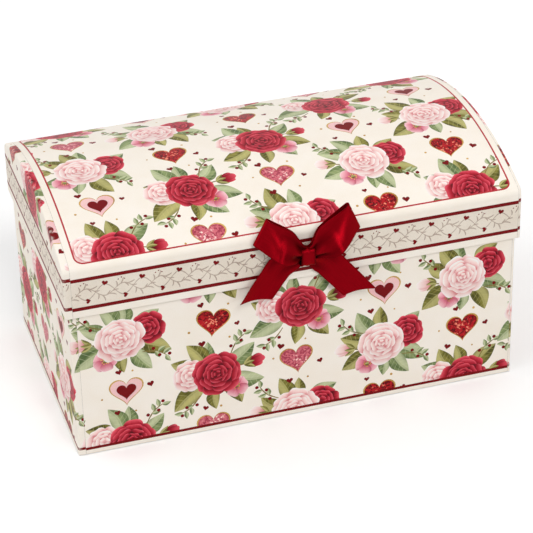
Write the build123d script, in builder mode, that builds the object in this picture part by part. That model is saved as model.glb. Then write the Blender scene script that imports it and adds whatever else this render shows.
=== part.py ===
"""Arched-lid gift box of wrapped greyboard, with a satin ribbon bow on the lid.

X runs along the box, Y from the front (-Y) to the back (+Y) and Z up.
The origin is the centre of the underside. All sizes are in millimetres.
"""

import os
from math import atan2, cos, degrees, radians, sin, sqrt

from build123d import *

os.makedirs("parts", exist_ok=True)

# Base, measured over its paper
base_length = 250.0
base_depth = 141.0
base_height = 117.0
base_board = 2.0
corner_radius = 1.5

# Paper, lining and glue lines
paper = 0.2
lining = 0.2
glue = 0.05
sheet_gap = 0.1
corner_tab = 4.0  # strip of an end sheet that shows on the next side
turn_in = 14.0  # over the rim of the base and down its inside
turn_under = 12.0  # under the floor
bottom_margin = 3.0  # from the outline in to the bottom sheet's edge
lining_drop = 4.0  # from the rim down to the wall lining's edge
stay_leg = 12.0  # width of one half of a folded corner stay

# Lid
lid_board = 1.0
fit_gap = 0.5  # from the base to the inside of the skirt, all round
rest_gap = 0.3  # from the base's rim to the shoulder that sits on it
skirt = 28.0  # how far the skirt reaches down over the base
crown = 18.3  # from the start of the shoulder bend up to the crest
shoulder_radius = 5.0
edge_radius = 1.2
lid_turn_in = 16.0

# Bow
ribbon_width = 16.0
ribbon = 0.4
bow_x = 3.5
bow_drop = 12.0  # from the base's rim level down to the knot's centre
knot_width = 8.5
knot_height = 9.5
knot_depth = 7.0
knot_radius = 2.5
glue_dot = 7.0
glue_dot_thickness = 0.6
pinch = 5.0  # width of the gathered ribbon at the knot
loop_reach = 32.0
loop_angle = 37.0  # above the horizontal
loop_end = 4.2  # radius of the fold at a loop's end
loop_root = 1.4  # radius of a loop where the knot gathers it
loop_clear = 0.8  # from the band to the back of a loop's end
fold_gap = 0.3  # between a loop and the tail behind it
tail_angle = 40.0  # below the horizontal
tail_long = 43.0
tail_short = 30.0
tail_flare = 15.0  # from the knot's centre to where a tail is at full width
tail_lift = 4.6  # stand-off of a tail's end from the band
tail_dip = 1.2  # stand-off of a tail where it comes closest to the band

# Depths into the base's wall, from the outside of its paper
wall_out = paper + glue
wall_in = wall_out + base_board
flap_out = wall_in + glue
flap_in = flap_out + paper
lining_out = flap_in + glue
lining_in = lining_out + lining

# Levels of the base
flap_z = paper + glue
board_z = flap_z + paper + glue
floor_z = board_z + base_board
wall_top = base_height - paper - glue

# Depths into the lid, from the outside of its paper
shell_out = paper + glue
shell_in = shell_out + lid_board
shell_skin = shell_in + glue
lid_inside = shell_skin + max(paper, lining)

# Outline of the lid: a straight skirt, a small shoulder bend and one wide arch
lid_length = base_length + 2 * (fit_gap + lid_inside)
lid_depth = base_depth + 2 * (fit_gap + lid_inside)
lid_foot = base_height - skirt
shoulder_in = shoulder_radius - lid_inside
shoulder_z = base_height - sqrt((shoulder_in - rest_gap) ** 2 - (shoulder_in - fit_gap) ** 2)
shoulder_y = lid_depth / 2 - shoulder_radius
crest_z = shoulder_z + crown
arch_radius = (shoulder_y**2 + crown**2 - shoulder_radius**2) / (2 * (crown - shoulder_radius))
arch_z = crest_z - arch_radius
arch_angle = degrees(atan2(shoulder_z - arch_z, shoulder_y))
shell_end = lid_length / 2 - shell_out
lining_foot = lid_foot + lid_turn_in + sheet_gap

# Places of the bow
bow_z = base_height - bow_drop
band_y = -lid_depth / 2
dot_back = band_y - glue
knot_back = dot_back - glue_dot_thickness - glue
knot_middle = knot_back - knot_depth / 2


def base_ring(z, outside, inside, x_range, y_range):
    """Plan of a skin between two depths into the base's wall, cut to a window."""
    with BuildSketch(Plane.XY.offset(z)) as ring:
        for depth, how in ((outside, Mode.ADD), (inside, Mode.SUBTRACT)):
            length, width = base_length - 2 * depth, base_depth - 2 * depth
            if corner_radius - depth > glue:
                RectangleRounded(length, width, corner_radius - depth, mode=how)
            else:
                Rectangle(length, width, mode=how)
        with Locations((sum(x_range) / 2, sum(y_range) / 2)):
            Rectangle(x_range[1] - x_range[0], y_range[1] - y_range[0], mode=Mode.INTERSECT)
    return ring.sketch


def lid_section(x, depth, foot):
    """Closed cross-section of the lid at a depth into its shell, down to a foot level."""
    side = lid_depth / 2 - depth
    with BuildSketch(Plane.YZ.offset(x)) as section:
        with BuildLine():
            if foot < shoulder_z:
                Line((side, foot), (side, shoulder_z))
            CenterArc((shoulder_y, shoulder_z), shoulder_radius - depth, 0, arch_angle)
            CenterArc((0, arch_z), arch_radius - depth, arch_angle, 90 - arch_angle)
            mirror(about=Plane.YZ)
            Line((-side, foot), (side, foot))
        make_face()
    return section.sketch


def bow_face(angle):
    """Plane of the band whose x axis runs along a ribbon that leaves the knot at an angle."""
    way = Vector(cos(radians(angle)), 0, sin(radians(angle)))
    return Plane((bow_x, band_y, bow_z), x_dir=way, z_dir=(0, -1, 0))


def bow_side(angle):
    """Plane across the band along such a ribbon: its y axis stands off the band."""
    face = bow_face(angle)
    return Plane(face.origin, x_dir=face.x_dir, z_dir=-face.y_dir)


bow_front = bow_face(0)

# Windows of the base's wrap sheets
half_x, half_y = base_length / 2, base_depth / 2
left_end = (-half_x, -half_x + corner_tab)
between_tabs = (-half_x + corner_tab + sheet_gap, half_x - corner_tab - sheet_gap)
all_depth = (-half_y, half_y)
front_half = (-half_y, 0)
front_edge = (-half_y, -half_y + turn_under)

# Base: boards
with BuildPart() as base_floor_board:
    with BuildSketch(Plane.XY.offset(board_z)):
        Rectangle(base_length - 2 * (wall_in + glue), base_depth - 2 * (wall_in + glue))
    extrude(amount=base_board)

with BuildPart() as base_front_board:
    with BuildSketch(Plane.XY.offset(board_z)):
        with Locations((0, -half_y + wall_out)):
            Rectangle(base_length - 2 * wall_out, base_board, align=(Align.CENTER, Align.MIN))
    extrude(amount=wall_top - board_z)
    fillet(base_front_board.edges().filter_by(Axis.Z).group_by(Axis.Y)[0], corner_radius - wall_out)

with BuildPart() as base_back_board:
    mirror(base_front_board.part, about=Plane.XZ)

with BuildPart() as base_left_board:
    with BuildSketch(Plane.XY.offset(board_z)):
        with Locations((-half_x + wall_out, 0)):
            Rectangle(base_board, base_depth - 2 * (wall_in + glue), align=(Align.MIN, Align.CENTER))
    extrude(amount=wall_top - board_z)

with BuildPart() as base_right_board:
    mirror(base_left_board.part, about=Plane.YZ)

# Base: folded paper stays in the inner corners
stay_x = (-half_x, -half_x + flap_out + stay_leg)
stay_y = (-half_y, -half_y + flap_out + stay_leg)
stay_foot = floor_z + glue
with BuildPart() as base_front_left_stay:
    extrude(
        base_ring(stay_foot, flap_out, flap_in, stay_x, stay_y),
        amount=base_height - turn_in - sheet_gap - stay_foot,
    )

with BuildPart() as base_front_right_stay:
    mirror(base_front_left_stay.part, about=Plane.YZ)

with BuildPart() as base_back_left_stay:
    mirror(base_front_left_stay.part, about=Plane.XZ)

with BuildPart() as base_back_right_stay:
    mirror(base_back_left_stay.part, about=Plane.YZ)

# Base: wrap sheets, each a skin that turns over the rim and under the floor
with BuildPart() as base_front_paper:
    extrude(base_ring(flap_z, 0, paper, between_tabs, front_half), amount=base_height - flap_z)
    extrude(base_ring(base_height - paper, 0, flap_in, between_tabs, front_half), amount=paper)
    extrude(base_ring(base_height - turn_in, flap_out, flap_in, between_tabs, front_half), amount=turn_in)
    extrude(base_ring(flap_z, 0, turn_under, between_tabs, front_edge), amount=paper)

with BuildPart() as base_back_paper:
    mirror(base_front_paper.part, about=Plane.XZ)

with BuildPart() as base_left_paper:
    extrude(base_ring(flap_z, 0, paper, left_end, all_depth), amount=base_height - flap_z)
    extrude(base_ring(base_height - paper, 0, flap_in, left_end, all_depth), amount=paper)
    extrude(base_ring(base_height - turn_in, flap_out, flap_in, left_end, all_depth), amount=turn_in)
    with BuildSketch(Plane.XY.offset(flap_z)):
        with Locations((-half_x, 0)):
            Rectangle(
                turn_under,
                base_depth - 2 * (turn_under + sheet_gap),
                align=(Align.MIN, Align.CENTER),
            )
    extrude(amount=paper)

with BuildPart() as base_right_paper:
    mirror(base_left_paper.part, about=Plane.YZ)

with BuildPart() as base_bottom_paper:
    with BuildSketch():
        RectangleRounded(base_length - 2 * bottom_margin, base_depth - 2 * bottom_margin, corner_radius)
    extrude(amount=paper)

# Base: linings
with BuildPart() as base_wall_lining:
    extrude(
        base_ring(floor_z + glue, lining_out, lining_in, (-half_x, half_x), all_depth),
        amount=base_height - lining_drop - floor_z - glue,
    )

with BuildPart() as base_floor_lining:
    with BuildSketch(Plane.XY.offset(floor_z + glue)):
        Rectangle(base_length - 2 * (lining_in + glue), base_depth - 2 * (lining_in + glue))
    extrude(amount=lining)

# Lid: boards
board_foot = lid_foot + paper + glue
with BuildPart() as lid_front_board:
    with BuildSketch(Plane.XY.offset(board_foot)):
        with Locations((0, -lid_depth / 2 + shell_out)):
            Rectangle(2 * shell_end, lid_board, align=(Align.CENTER, Align.MIN))
    extrude(amount=shoulder_z - glue - board_foot)
    fillet(lid_front_board.edges().filter_by(Axis.Z).group_by(Axis.Y)[0], edge_radius - shell_out)

with BuildPart() as lid_back_board:
    mirror(lid_front_board.part, about=Plane.XZ)

with BuildPart() as lid_left_board:
    extrude(lid_section(-shell_end, shell_skin, board_foot), amount=lid_board)

with BuildPart() as lid_right_board:
    mirror(lid_left_board.part, about=Plane.YZ)

with BuildPart() as lid_dome_board:
    extrude(lid_section(0, shell_out, shoulder_z), amount=shell_end, both=True)
    for end in (0, -1):
        arcs = lid_dome_board.edges().group_by(Axis.X)[end].filter_by(GeomType.CIRCLE)
        chamfer(arcs, edge_radius - shell_out)
    extrude(lid_section(0, shell_in, shoulder_z), amount=shell_end, both=True, mode=Mode.SUBTRACT)

# Lid: the long wrap sheet, from one skirt's turn-in over the arch to the other's
sheet_half = lid_length / 2 - corner_tab - sheet_gap
with BuildPart() as lid_wrap_paper:
    extrude(lid_section(0, 0, lid_foot), amount=sheet_half, both=True)
    extrude(lid_section(0, paper, lid_foot + paper), amount=sheet_half, both=True, mode=Mode.SUBTRACT)
    with BuildSketch(Plane.XY.offset(lid_foot)):
        Rectangle(2 * sheet_half, lid_depth - 2 * lid_inside)
    extrude(amount=paper, mode=Mode.SUBTRACT)
    with BuildSketch(Plane.XY.offset(lid_foot)):
        Rectangle(2 * sheet_half, lid_depth - 2 * shell_skin)
        Rectangle(2 * sheet_half, lid_depth - 2 * lid_inside, mode=Mode.SUBTRACT)
    extrude(amount=lid_turn_in)

# Lid: end sheets, each a shallow cap whose rim shows on the band and the arch
with BuildPart() as cap_inside:
    extrude(lid_section(-lid_length / 2 + paper, paper, lid_foot + paper), amount=corner_tab)
    inner_rim = cap_inside.edges().group_by(Axis.X)[0].filter_by(Axis.Y, reverse=True)
    fillet(inner_rim, edge_radius - paper)

with BuildPart() as lid_left_paper:
    extrude(lid_section(-lid_length / 2, 0, lid_foot), amount=corner_tab)
    outer_rim = lid_left_paper.edges().group_by(Axis.X)[0].filter_by(Axis.Y, reverse=True)
    fillet(outer_rim, edge_radius)
    add(cap_inside.part, mode=Mode.SUBTRACT)
    with BuildSketch(Plane.XY.offset(lid_foot)):
        with Locations((-lid_length / 2 + lid_inside, 0)):
            Rectangle(corner_tab, lid_depth - 2 * lid_inside, align=(Align.MIN, Align.CENTER))
    extrude(amount=paper, mode=Mode.SUBTRACT)
    with BuildSketch(Plane.XY.offset(lid_foot)):
        with Locations((-lid_length / 2 + shell_skin, 0)):
            Rectangle(
                corner_tab - shell_skin,
                lid_depth - 2 * shell_skin,
                align=(Align.MIN, Align.CENTER),
            )
        with Locations((-lid_length / 2 + lid_inside, 0)):
            Rectangle(
                corner_tab,
                lid_depth - 2 * lid_inside,
                align=(Align.MIN, Align.CENTER),
                mode=Mode.SUBTRACT,
            )
    extrude(amount=lid_turn_in)

with BuildPart() as lid_right_paper:
    mirror(lid_left_paper.part, about=Plane.YZ)

# Lid: linings
lining_end = shell_end - lid_board - glue
with BuildPart() as lid_dome_lining:
    extrude(lid_section(0, shell_skin, lining_foot), amount=lining_end, both=True)
    extrude(lid_section(0, shell_skin + lining, lining_foot), amount=lining_end, both=True, mode=Mode.SUBTRACT)

with BuildPart() as lid_left_lining:
    extrude(lid_section(-lining_end, shell_skin + lining + glue, lining_foot), amount=lining)

with BuildPart() as lid_right_lining:
    mirror(lid_left_lining.part, about=Plane.YZ)

# Bow: a dot of glue, the knot, and the loops and tails that it gathers
with BuildPart() as bow_glue_dot:
    with BuildSketch(bow_front.offset(glue)):
        Circle(glue_dot / 2)
    extrude(amount=glue_dot_thickness)

with BuildPart() as bow_knot:
    with BuildSketch(bow_front.offset(band_y - knot_back)):
        RectangleRounded(knot_width, knot_height, knot_radius)
    extrude(amount=knot_depth)
    front_edges = bow_knot.edges().group_by(Axis.Y)[0]
    fillet(front_edges, knot_radius * 0.8)

knot_stand = band_y - knot_middle
tail_stand = knot_stand - loop_root - fold_gap - ribbon / 2
with BuildPart() as bow_right_loop:
    with BuildSketch(bow_side(loop_angle)):
        for shrink, how in ((0, Mode.ADD), (ribbon, Mode.SUBTRACT)):
            with BuildSketch(mode=Mode.PRIVATE) as drop:
                with Locations((0, knot_stand)):
                    Circle(loop_root - shrink)
                with Locations((loop_reach - loop_end, loop_end + loop_clear)):
                    Circle(loop_end - shrink)
                make_hull()
            add(drop.sketch, mode=how)
    extrude(amount=ribbon_width / 2, both=True)
    with BuildSketch(bow_face(loop_angle)):
        with BuildLine():
            Polyline(
                (0, -pinch / 2),
                (loop_reach, -ribbon_width / 2),
                (loop_reach, ribbon_width / 2),
                (0, pinch / 2),
                close=True,
            )
        make_face()
    extrude(amount=knot_depth * 2, mode=Mode.INTERSECT)
    with BuildSketch(bow_front):
        RectangleRounded(knot_width + 2 * glue, knot_height + 2 * glue, knot_radius + glue)
    extrude(amount=knot_depth * 2, mode=Mode.SUBTRACT)

bow_middle = Plane.YZ.offset(bow_x)
with BuildPart() as bow_left_loop:
    mirror(bow_right_loop.part, about=bow_middle)

with BuildPart() as bow_right_tail:
    with BuildSketch(bow_side(-tail_angle)):
        with BuildLine():
            TangentArc((tail_flare, tail_dip), (0, tail_stand), tangent=(-1, 0))
            TangentArc((tail_flare, tail_dip), (tail_long, tail_lift), tangent=(1, 0))
        trace(line_width=ribbon)
    extrude(amount=ribbon_width / 2, both=True)
    with BuildSketch(bow_face(-tail_angle)):
        with BuildLine():
            Polyline(
                (0, -pinch / 2),
                (tail_flare, -ribbon_width / 2),
                (tail_short, -ribbon_width / 2),
                (tail_long, ribbon_width / 2),
                (tail_flare, ribbon_width / 2),
                (0, pinch / 2),
                close=True,
            )
        make_face()
    extrude(amount=knot_depth * 2, mode=Mode.INTERSECT)
    with BuildSketch(bow_front):
        RectangleRounded(knot_width + 2 * glue, knot_height + 2 * glue, knot_radius + glue)
    extrude(amount=knot_depth * 2, mode=Mode.SUBTRACT)

with BuildPart() as bow_left_tail:
    mirror(bow_right_tail.part, about=bow_middle)

pieces = {
    "base_floor_board": base_floor_board,
    "base_front_board": base_front_board,
    "base_back_board": base_back_board,
    "base_left_board": base_left_board,
    "base_right_board": base_right_board,
    "base_front_left_stay": base_front_left_stay,
    "base_front_right_stay": base_front_right_stay,
    "base_back_left_stay": base_back_left_stay,
    "base_back_right_stay": base_back_right_stay,
    "base_front_paper": base_front_paper,
    "base_back_paper": base_back_paper,
    "base_left_paper": base_left_paper,
    "base_right_paper": base_right_paper,
    "base_bottom_paper": base_bottom_paper,
    "base_wall_lining": base_wall_lining,
    "base_floor_lining": base_floor_lining,
    "lid_front_board": lid_front_board,
    "lid_back_board": lid_back_board,
    "lid_left_board": lid_left_board,
    "lid_right_board": lid_right_board,
    "lid_dome_board": lid_dome_board,
    "lid_wrap_paper": lid_wrap_paper,
    "lid_left_paper": lid_left_paper,
    "lid_right_paper": lid_right_paper,
    "lid_dome_lining": lid_dome_lining,
    "lid_left_lining": lid_left_lining,
    "lid_right_lining": lid_right_lining,
    "bow_glue_dot": bow_glue_dot,
    "bow_knot": bow_knot,
    "bow_left_loop": bow_left_loop,
    "bow_right_loop": bow_right_loop,
    "bow_left_tail": bow_left_tail,
    "bow_right_tail": bow_right_tail,
}
for name, piece in pieces.items():
    piece.part.label = name
    export_step(piece.part, f"parts/{name}.step")
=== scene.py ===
"""Looks of an arched-lid gift box: printed wrap sheets, boards, linings and a satin bow.

The scene is in metres. Each printed sheet is laid out flat in millimetres, cut along the
outlines of its print, and then folded onto the box.
"""

import logging
import math
from collections.abc import Callable, Sequence
from dataclasses import dataclass, field, replace
from enum import Enum

import bpy
import numpy as np
from mathutils import Matrix, Vector
from mathutils.geometry import delaunay_2d_cdt


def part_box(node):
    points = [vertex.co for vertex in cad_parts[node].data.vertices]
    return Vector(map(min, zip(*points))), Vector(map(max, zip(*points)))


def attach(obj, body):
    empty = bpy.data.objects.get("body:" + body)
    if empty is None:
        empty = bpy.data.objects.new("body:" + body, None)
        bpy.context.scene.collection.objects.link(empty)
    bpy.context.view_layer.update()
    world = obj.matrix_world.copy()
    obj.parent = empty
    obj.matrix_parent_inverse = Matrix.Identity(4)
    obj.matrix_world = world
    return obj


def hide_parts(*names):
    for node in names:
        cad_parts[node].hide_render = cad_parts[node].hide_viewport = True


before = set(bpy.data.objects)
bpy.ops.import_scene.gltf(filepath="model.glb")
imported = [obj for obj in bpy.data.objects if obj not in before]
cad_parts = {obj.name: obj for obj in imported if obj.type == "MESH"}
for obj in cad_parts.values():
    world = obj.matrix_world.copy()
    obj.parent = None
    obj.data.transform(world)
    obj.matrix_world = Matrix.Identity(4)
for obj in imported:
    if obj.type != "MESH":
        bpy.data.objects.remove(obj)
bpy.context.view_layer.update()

log = logging.getLogger("gift_box")

MM = 0.001
QUARTER = math.pi / 2
ROUND = 2 * math.pi

Colour = tuple[float, float, float, float]
Points = np.ndarray
Folded = tuple[Points, Points, Points]  # places, normals and rubbing of a sheet's points
Socket = bpy.types.NodeSocket
Given = Socket | Colour | float  # what a node's input may get

WHITE: Colour = (1.0, 1.0, 1.0, 1.0)
VALUE = "NodeSocketFloat"
COLOUR = "NodeSocketColor"


def srgb(red: int, green: int, blue: int) -> Colour:
    """Linear colour of an sRGB one.

    Args:
        red: Red, from 0 to 255.
        green: Green, from 0 to 255.
        blue: Blue, from 0 to 255.

    Returns:
        The linear colour, opaque.
    """
    shares = (value / 255 for value in (red, green, blue))
    linear = (s / 12.92 if s <= 0.04045 else ((s + 0.055) / 1.055) ** 2.4 for s in shares)
    return (*linear, 1.0)


class Ink(Enum):
    """What a patch of a printed sheet is printed with. The values are the sheet's material slots."""

    GROUND = 0
    BAND = 1
    RULE = 2
    FRAME = 3
    VINE = 4
    CRIMSON_PETAL = 5
    ROSE_PETAL = 6
    BLUSH_PETAL = 7
    SAGE_LEAF = 8
    OLIVE_LEAF = 9
    STEM = 10
    GOLD = 11
    CRIMSON_HEART = 12
    ROSE_HEART = 13
    BLUSH_HEART = 14
    POLLEN = 15


class Nodes:
    """Short calls for filling one node tree. Each adds a node and returns its output."""

    def __init__(self, tree: bpy.types.NodeTree) -> None:
        """Starts on a tree, which it empties."""
        self.tree = tree
        tree.nodes.clear()

    def add(self, kind: str, inputs: dict[str | int, Given], **settings: object) -> bpy.types.Node:
        """Adds a node.

        Args:
            kind: Blender's name of the node type.
            inputs: Values or sockets for the node's inputs, by name or number.
            **settings: Properties of the node itself.

        Returns:
            The new node.
        """
        node = self.tree.nodes.new(kind)
        for name, value in settings.items():
            setattr(node, name, value)
        for name, value in inputs.items():
            if isinstance(value, Socket):
                self.tree.links.new(value, node.inputs[name])
            else:
                node.inputs[name].default_value = value
        return node

    def math(self, operation: str, *values: Given) -> Socket:
        """Adds a Math node on one to three values."""
        return self.add("ShaderNodeMath", dict(enumerate(values)), operation=operation).outputs[0]

    def times(self, first: Given, second: Given) -> Socket:
        """Adds a product."""
        return self.math("MULTIPLY", first, second)

    def less(self, first: Given, second: Given) -> Socket:
        """Adds a difference."""
        return self.math("SUBTRACT", first, second)

    def scaled(self, value: Given, factor: Given, base: Given) -> Socket:
        """Adds a value times a factor plus a base."""
        return self.math("MULTIPLY_ADD", value, factor, base)

    def squares(self, first: Given, second: Given) -> Socket:
        """Adds the sum of two squares."""
        return self.math("ADD", self.times(first, first), self.times(second, second))

    def mix(self, share: Given, first: Given, second: Given, blend: str = "MIX") -> Socket:
        """Adds a mix of two colours, which are inputs 6 and 7 and output 2 of the node."""
        settings = {"data_type": "RGBA", "blend_type": blend, "clamp_result": True}
        return self.add("ShaderNodeMix", {0: share, 6: first, 7: second}, **settings).outputs[2]

    def toned(self, colour: Given, tone: Given) -> Socket:
        """Adds a colour with its brightness scaled."""
        return self.add("ShaderNodeHueSaturation", {"Value": tone, "Color": colour}).outputs[0]

    def smooth(self, value: Given, low: float, high: float) -> Socket:
        """Adds a smooth step of a value from 0 at low to 1 at high."""
        inputs = {"Value": value, "From Min": low, "From Max": high}
        return self.add("ShaderNodeMapRange", inputs, interpolation_type="SMOOTHSTEP").outputs[0]

    def split(self, vector: Given) -> list[Socket]:
        """Adds a vector's three parts."""
        return list(self.add("ShaderNodeSeparateXYZ", {0: vector}).outputs)

    def joined(self, x: Given, y: Given, z: Given) -> Socket:
        """Adds a vector of three parts."""
        return self.add("ShaderNodeCombineXYZ", {0: x, 1: y, 2: z}).outputs[0]

    def attribute(self, name: str) -> list[Socket]:
        """Adds the three parts of a mesh attribute."""
        return self.split(self.add("ShaderNodeAttribute", {}, attribute_name=name).outputs["Vector"])

    def noise(self, where: Given, scale: float, detail: float = 2.0) -> Socket:
        """Adds a noise at a scale."""
        inputs = {"Vector": where, "Scale": scale, "Detail": detail}
        return self.add("ShaderNodeTexNoise", inputs).outputs[0]

    def place(self) -> Socket:
        """Adds the object coordinate, in metres."""
        return self.add("ShaderNodeTexCoord", {}).outputs["Object"]

    def bump(self, height: Given, strength: float, depth: float) -> Socket:
        """Adds a relief of a depth in metres."""
        inputs = {"Strength": strength, "Distance": depth, "Height": height}
        return self.add("ShaderNodeBump", inputs).outputs[0]

    def seen(self) -> Socket:
        """Adds a switch that is on for what the camera sees, also in gloss and through glass.

        Returns:
            The switch.
        """
        rays = self.add("ShaderNodeLightPath", {}).outputs
        mirrored = self.math("MAXIMUM", rays["Is Glossy Ray"], rays["Is Transmission Ray"])
        return self.math("MAXIMUM", rays["Is Camera Ray"], mirrored)

    def principled(self, inputs: dict[str | int, Given]) -> None:
        """Adds the surface's shader and puts it out."""
        shader = self.add("ShaderNodeBsdfPrincipled", inputs)
        self.add("ShaderNodeOutputMaterial", {"Surface": shader.outputs[0]})


def new_material(name: str) -> tuple[bpy.types.Material, Nodes]:
    """Makes a material.

    Args:
        name: Its name.

    Returns:
        The material and its empty tree of nodes.
    """
    made = bpy.data.materials.new(name)
    made.use_nodes = True
    return made, Nodes(made.node_tree)


def new_object(name: str, data: bpy.types.ID) -> bpy.types.Object:
    """Puts an object in the scene.

    Args:
        name: Its name.
        data: Its mesh, lamp or camera.

    Returns:
        The object.
    """
    made = bpy.data.objects.new(name, data)
    bpy.context.scene.collection.objects.link(made)
    return made


def put_on(piece: bpy.types.Object, body: str, node: str) -> None:
    """Puts a piece on a body in place of a node of the frame.

    Args:
        piece: The piece.
        body: The body that it rides on.
        node: The node that it stands for.
    """
    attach(piece, body)
    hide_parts(node)
    log.info("%s: %d faces", piece.name, len(piece.data.polygons))


class Effect:
    """A shader node group that several finishes share."""

    def __init__(self, name: str, inputs: dict[str, Given], outputs: dict[str, str]) -> None:
        """Makes the group with its sockets.

        Args:
            name: The group's name.
            inputs: Default of each input, a colour or a number, by name.
            outputs: Socket type of each output, by name.
        """
        self.tree = bpy.data.node_groups.new(name, "ShaderNodeTree")
        self.nodes = Nodes(self.tree)
        for socket, value in inputs.items():
            kind = COLOUR if isinstance(value, tuple) else VALUE
            made = self.tree.interface.new_socket(socket, in_out="INPUT", socket_type=kind)
            made.default_value = value
        for socket, kind in outputs.items():
            self.tree.interface.new_socket(socket, in_out="OUTPUT", socket_type=kind)
        self.given = self.nodes.add("NodeGroupInput", {}).outputs
        self.out = self.nodes.add("NodeGroupOutput", {})

    def put(self, **results: Socket) -> "Effect":
        """Links the group's outputs.

        Args:
            **results: Sockets by the outputs' names.

        Returns:
            The group itself.
        """
        for name, socket in results.items():
            self.tree.links.new(socket, self.out.inputs[name])
        return self

    def use(self, nodes: Nodes, **values: Given) -> bpy.types.NodeOutputs:
        """Places the group in a material, with values for its inputs, and returns its outputs."""
        return nodes.add("ShaderNodeGroup", values, node_tree=self.tree).outputs


TINTS = {"Deep": WHITE, "Middle": WHITE, "Light": WHITE}


def paper_grain() -> Effect:
    """Grain of a coated sheet: fine fibres, a soft mottle, and wear along its folds.

    Returns:
        The node group.
    """
    fibres, clouds, rubs = 1900.0, 60.0, 420.0
    detail, swell, even, bare = 3.0, 0.35, 0.5, (0.42, 0.72)
    effect = Effect("paper_grain", {"Wear": 0.6}, {"Height": VALUE, "Mottle": VALUE, "Worn": VALUE})
    nodes = effect.nodes
    where = nodes.place()
    fibre = nodes.noise(where, fibres, detail)
    cloud = nodes.noise(where, clouds)
    height = nodes.scaled(cloud, swell, fibre)
    mottle = nodes.scaled(cloud, even, nodes.times(fibre, even))
    fold = nodes.attribute("fold")[0]
    rubbed = nodes.smooth(nodes.noise(where, rubs, detail), *bare)
    worn = nodes.times(nodes.times(fold, rubbed), effect.given["Wear"])
    return effect.put(Height=height, Mottle=mottle, Worn=worn)


def petal_shade() -> Effect:
    """Painted petal: deep at its root and under its neighbour, pale along its rim, with fine streaks.

    Returns:
        The node group.
    """
    streaks, shifts, detail = (2.2, 9.0), (7.0, 13.0), 3.0
    to_middle, to_light, under, to_rim = (0.0, 0.5), (0.35, 1.0), (0.35, 1.05), (0.84, 1.0)
    ragged, shadow, gleam = 0.5, 0.62, 0.45
    effect = Effect("petal_shade", {**TINTS, "Streaks": 0.25}, {"Color": COLOUR})
    nodes, given = effect.nodes, effect.given
    along, across, seed = nodes.attribute("motif")
    root, tone, _ = nodes.attribute("paint")
    places = [
        nodes.scaled(place, stretch, nodes.times(seed, shift))
        for place, stretch, shift in zip((along, across), streaks, shifts)
    ]
    streak = nodes.less(nodes.noise(nodes.joined(*places, seed), 1.0, detail), 0.5)
    reach = nodes.math("DIVIDE", nodes.less(along, root), nodes.less(1.0, root))
    shade = nodes.scaled(streak, given["Streaks"], reach)
    colour = nodes.mix(nodes.smooth(shade, *to_middle), given["Deep"], given["Middle"])
    colour = nodes.mix(nodes.smooth(shade, *to_light), colour, given["Light"])
    covered = nodes.smooth(nodes.scaled(streak, ragged, across), *under)
    colour = nodes.mix(nodes.times(covered, shadow), colour, given["Deep"])
    off_middle = nodes.math("SQRT", nodes.squares(nodes.scaled(along, 2.0, -1.0), across))
    rim = nodes.times(nodes.smooth(off_middle, *to_rim), nodes.less(1.0, covered))
    colour = nodes.mix(nodes.times(rim, gleam), colour, given["Light"], "SCREEN")
    return effect.put(Color=nodes.toned(colour, tone))


def leaf_shade() -> Effect:
    """Painted leaf: a pale midrib with side veins, one half lighter, and a warm wash.

    Returns:
        The node group.
    """
    wash_scale, wash_detail, wash_shift, washed = 2.6, 3.0, 9.0, (0.3, 0.7)
    lit_from, lit_share = (-0.1, 0.25), 0.7
    vein_count, vein_lean, vein_line = 6.5, -1.1, (0.41, 0.5)
    rib_line, rib_share, rim_from, rim_share = (0.12, 0.03), 0.5, (0.55, 1.0), 0.5
    effect = Effect("leaf_shade", TINTS, {"Color": COLOUR})
    nodes, given = effect.nodes, effect.given
    along, across, seed = nodes.attribute("motif")
    bend, tone, _ = nodes.attribute("paint")
    bow = nodes.math("SINE", nodes.times(along, math.pi))
    off_rib = nodes.less(across, nodes.times(bow, bend))
    beside = nodes.math("ABSOLUTE", off_rib)
    wash_at = nodes.joined(along, off_rib, nodes.times(seed, wash_shift))
    wash = nodes.smooth(nodes.noise(wash_at, wash_scale, wash_detail), *washed)
    colour = nodes.mix(wash, given["Deep"], given["Middle"])
    lit = nodes.times(nodes.smooth(off_rib, *lit_from), lit_share)
    colour = nodes.mix(lit, colour, given["Light"])
    slant = nodes.scaled(beside, vein_lean, nodes.times(along, vein_count))
    vein = nodes.math("ABSOLUTE", nodes.less(nodes.math("FRACT", slant), 0.5))
    ribs = nodes.math("MAXIMUM", nodes.smooth(vein, *vein_line), nodes.smooth(beside, *rib_line))
    colour = nodes.mix(nodes.times(ribs, rib_share), colour, given["Light"])
    rim = nodes.times(nodes.smooth(beside, *rim_from), rim_share)
    colour = nodes.mix(rim, colour, given["Deep"])
    return effect.put(Color=nodes.toned(colour, tone))


def glitter() -> Effect:
    """Printed glitter: small grains of three tints, darker towards the rim of the motif.

    Returns:
        The node group.
    """
    clouds, cloud_share, cloud_base, rim_shade = 190.0, 0.9, -0.3, -0.25
    to_middle, to_light = (0.1, 0.75), (0.86, 1.1)
    effect = Effect("glitter", {**TINTS, "Grains": 1100.0}, {"Color": COLOUR})
    nodes, given = effect.nodes, effect.given
    where = nodes.place()
    grains = nodes.add("ShaderNodeTexVoronoi", {"Vector": where, "Scale": given["Grains"]})
    pick = nodes.add("ShaderNodeSeparateColor", {0: grains.outputs["Color"]}).outputs[0]
    along, across, _ = nodes.attribute("motif")
    cloud = nodes.scaled(nodes.noise(where, clouds), cloud_share, cloud_base)
    dark = nodes.scaled(nodes.squares(along, across), rim_shade, cloud)
    level = nodes.math("ADD", pick, dark)
    colour = nodes.mix(nodes.smooth(level, *to_middle), given["Deep"], given["Middle"])
    colour = nodes.mix(nodes.smooth(level, *to_light), colour, given["Light"])
    return effect.put(Color=colour)


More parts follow.
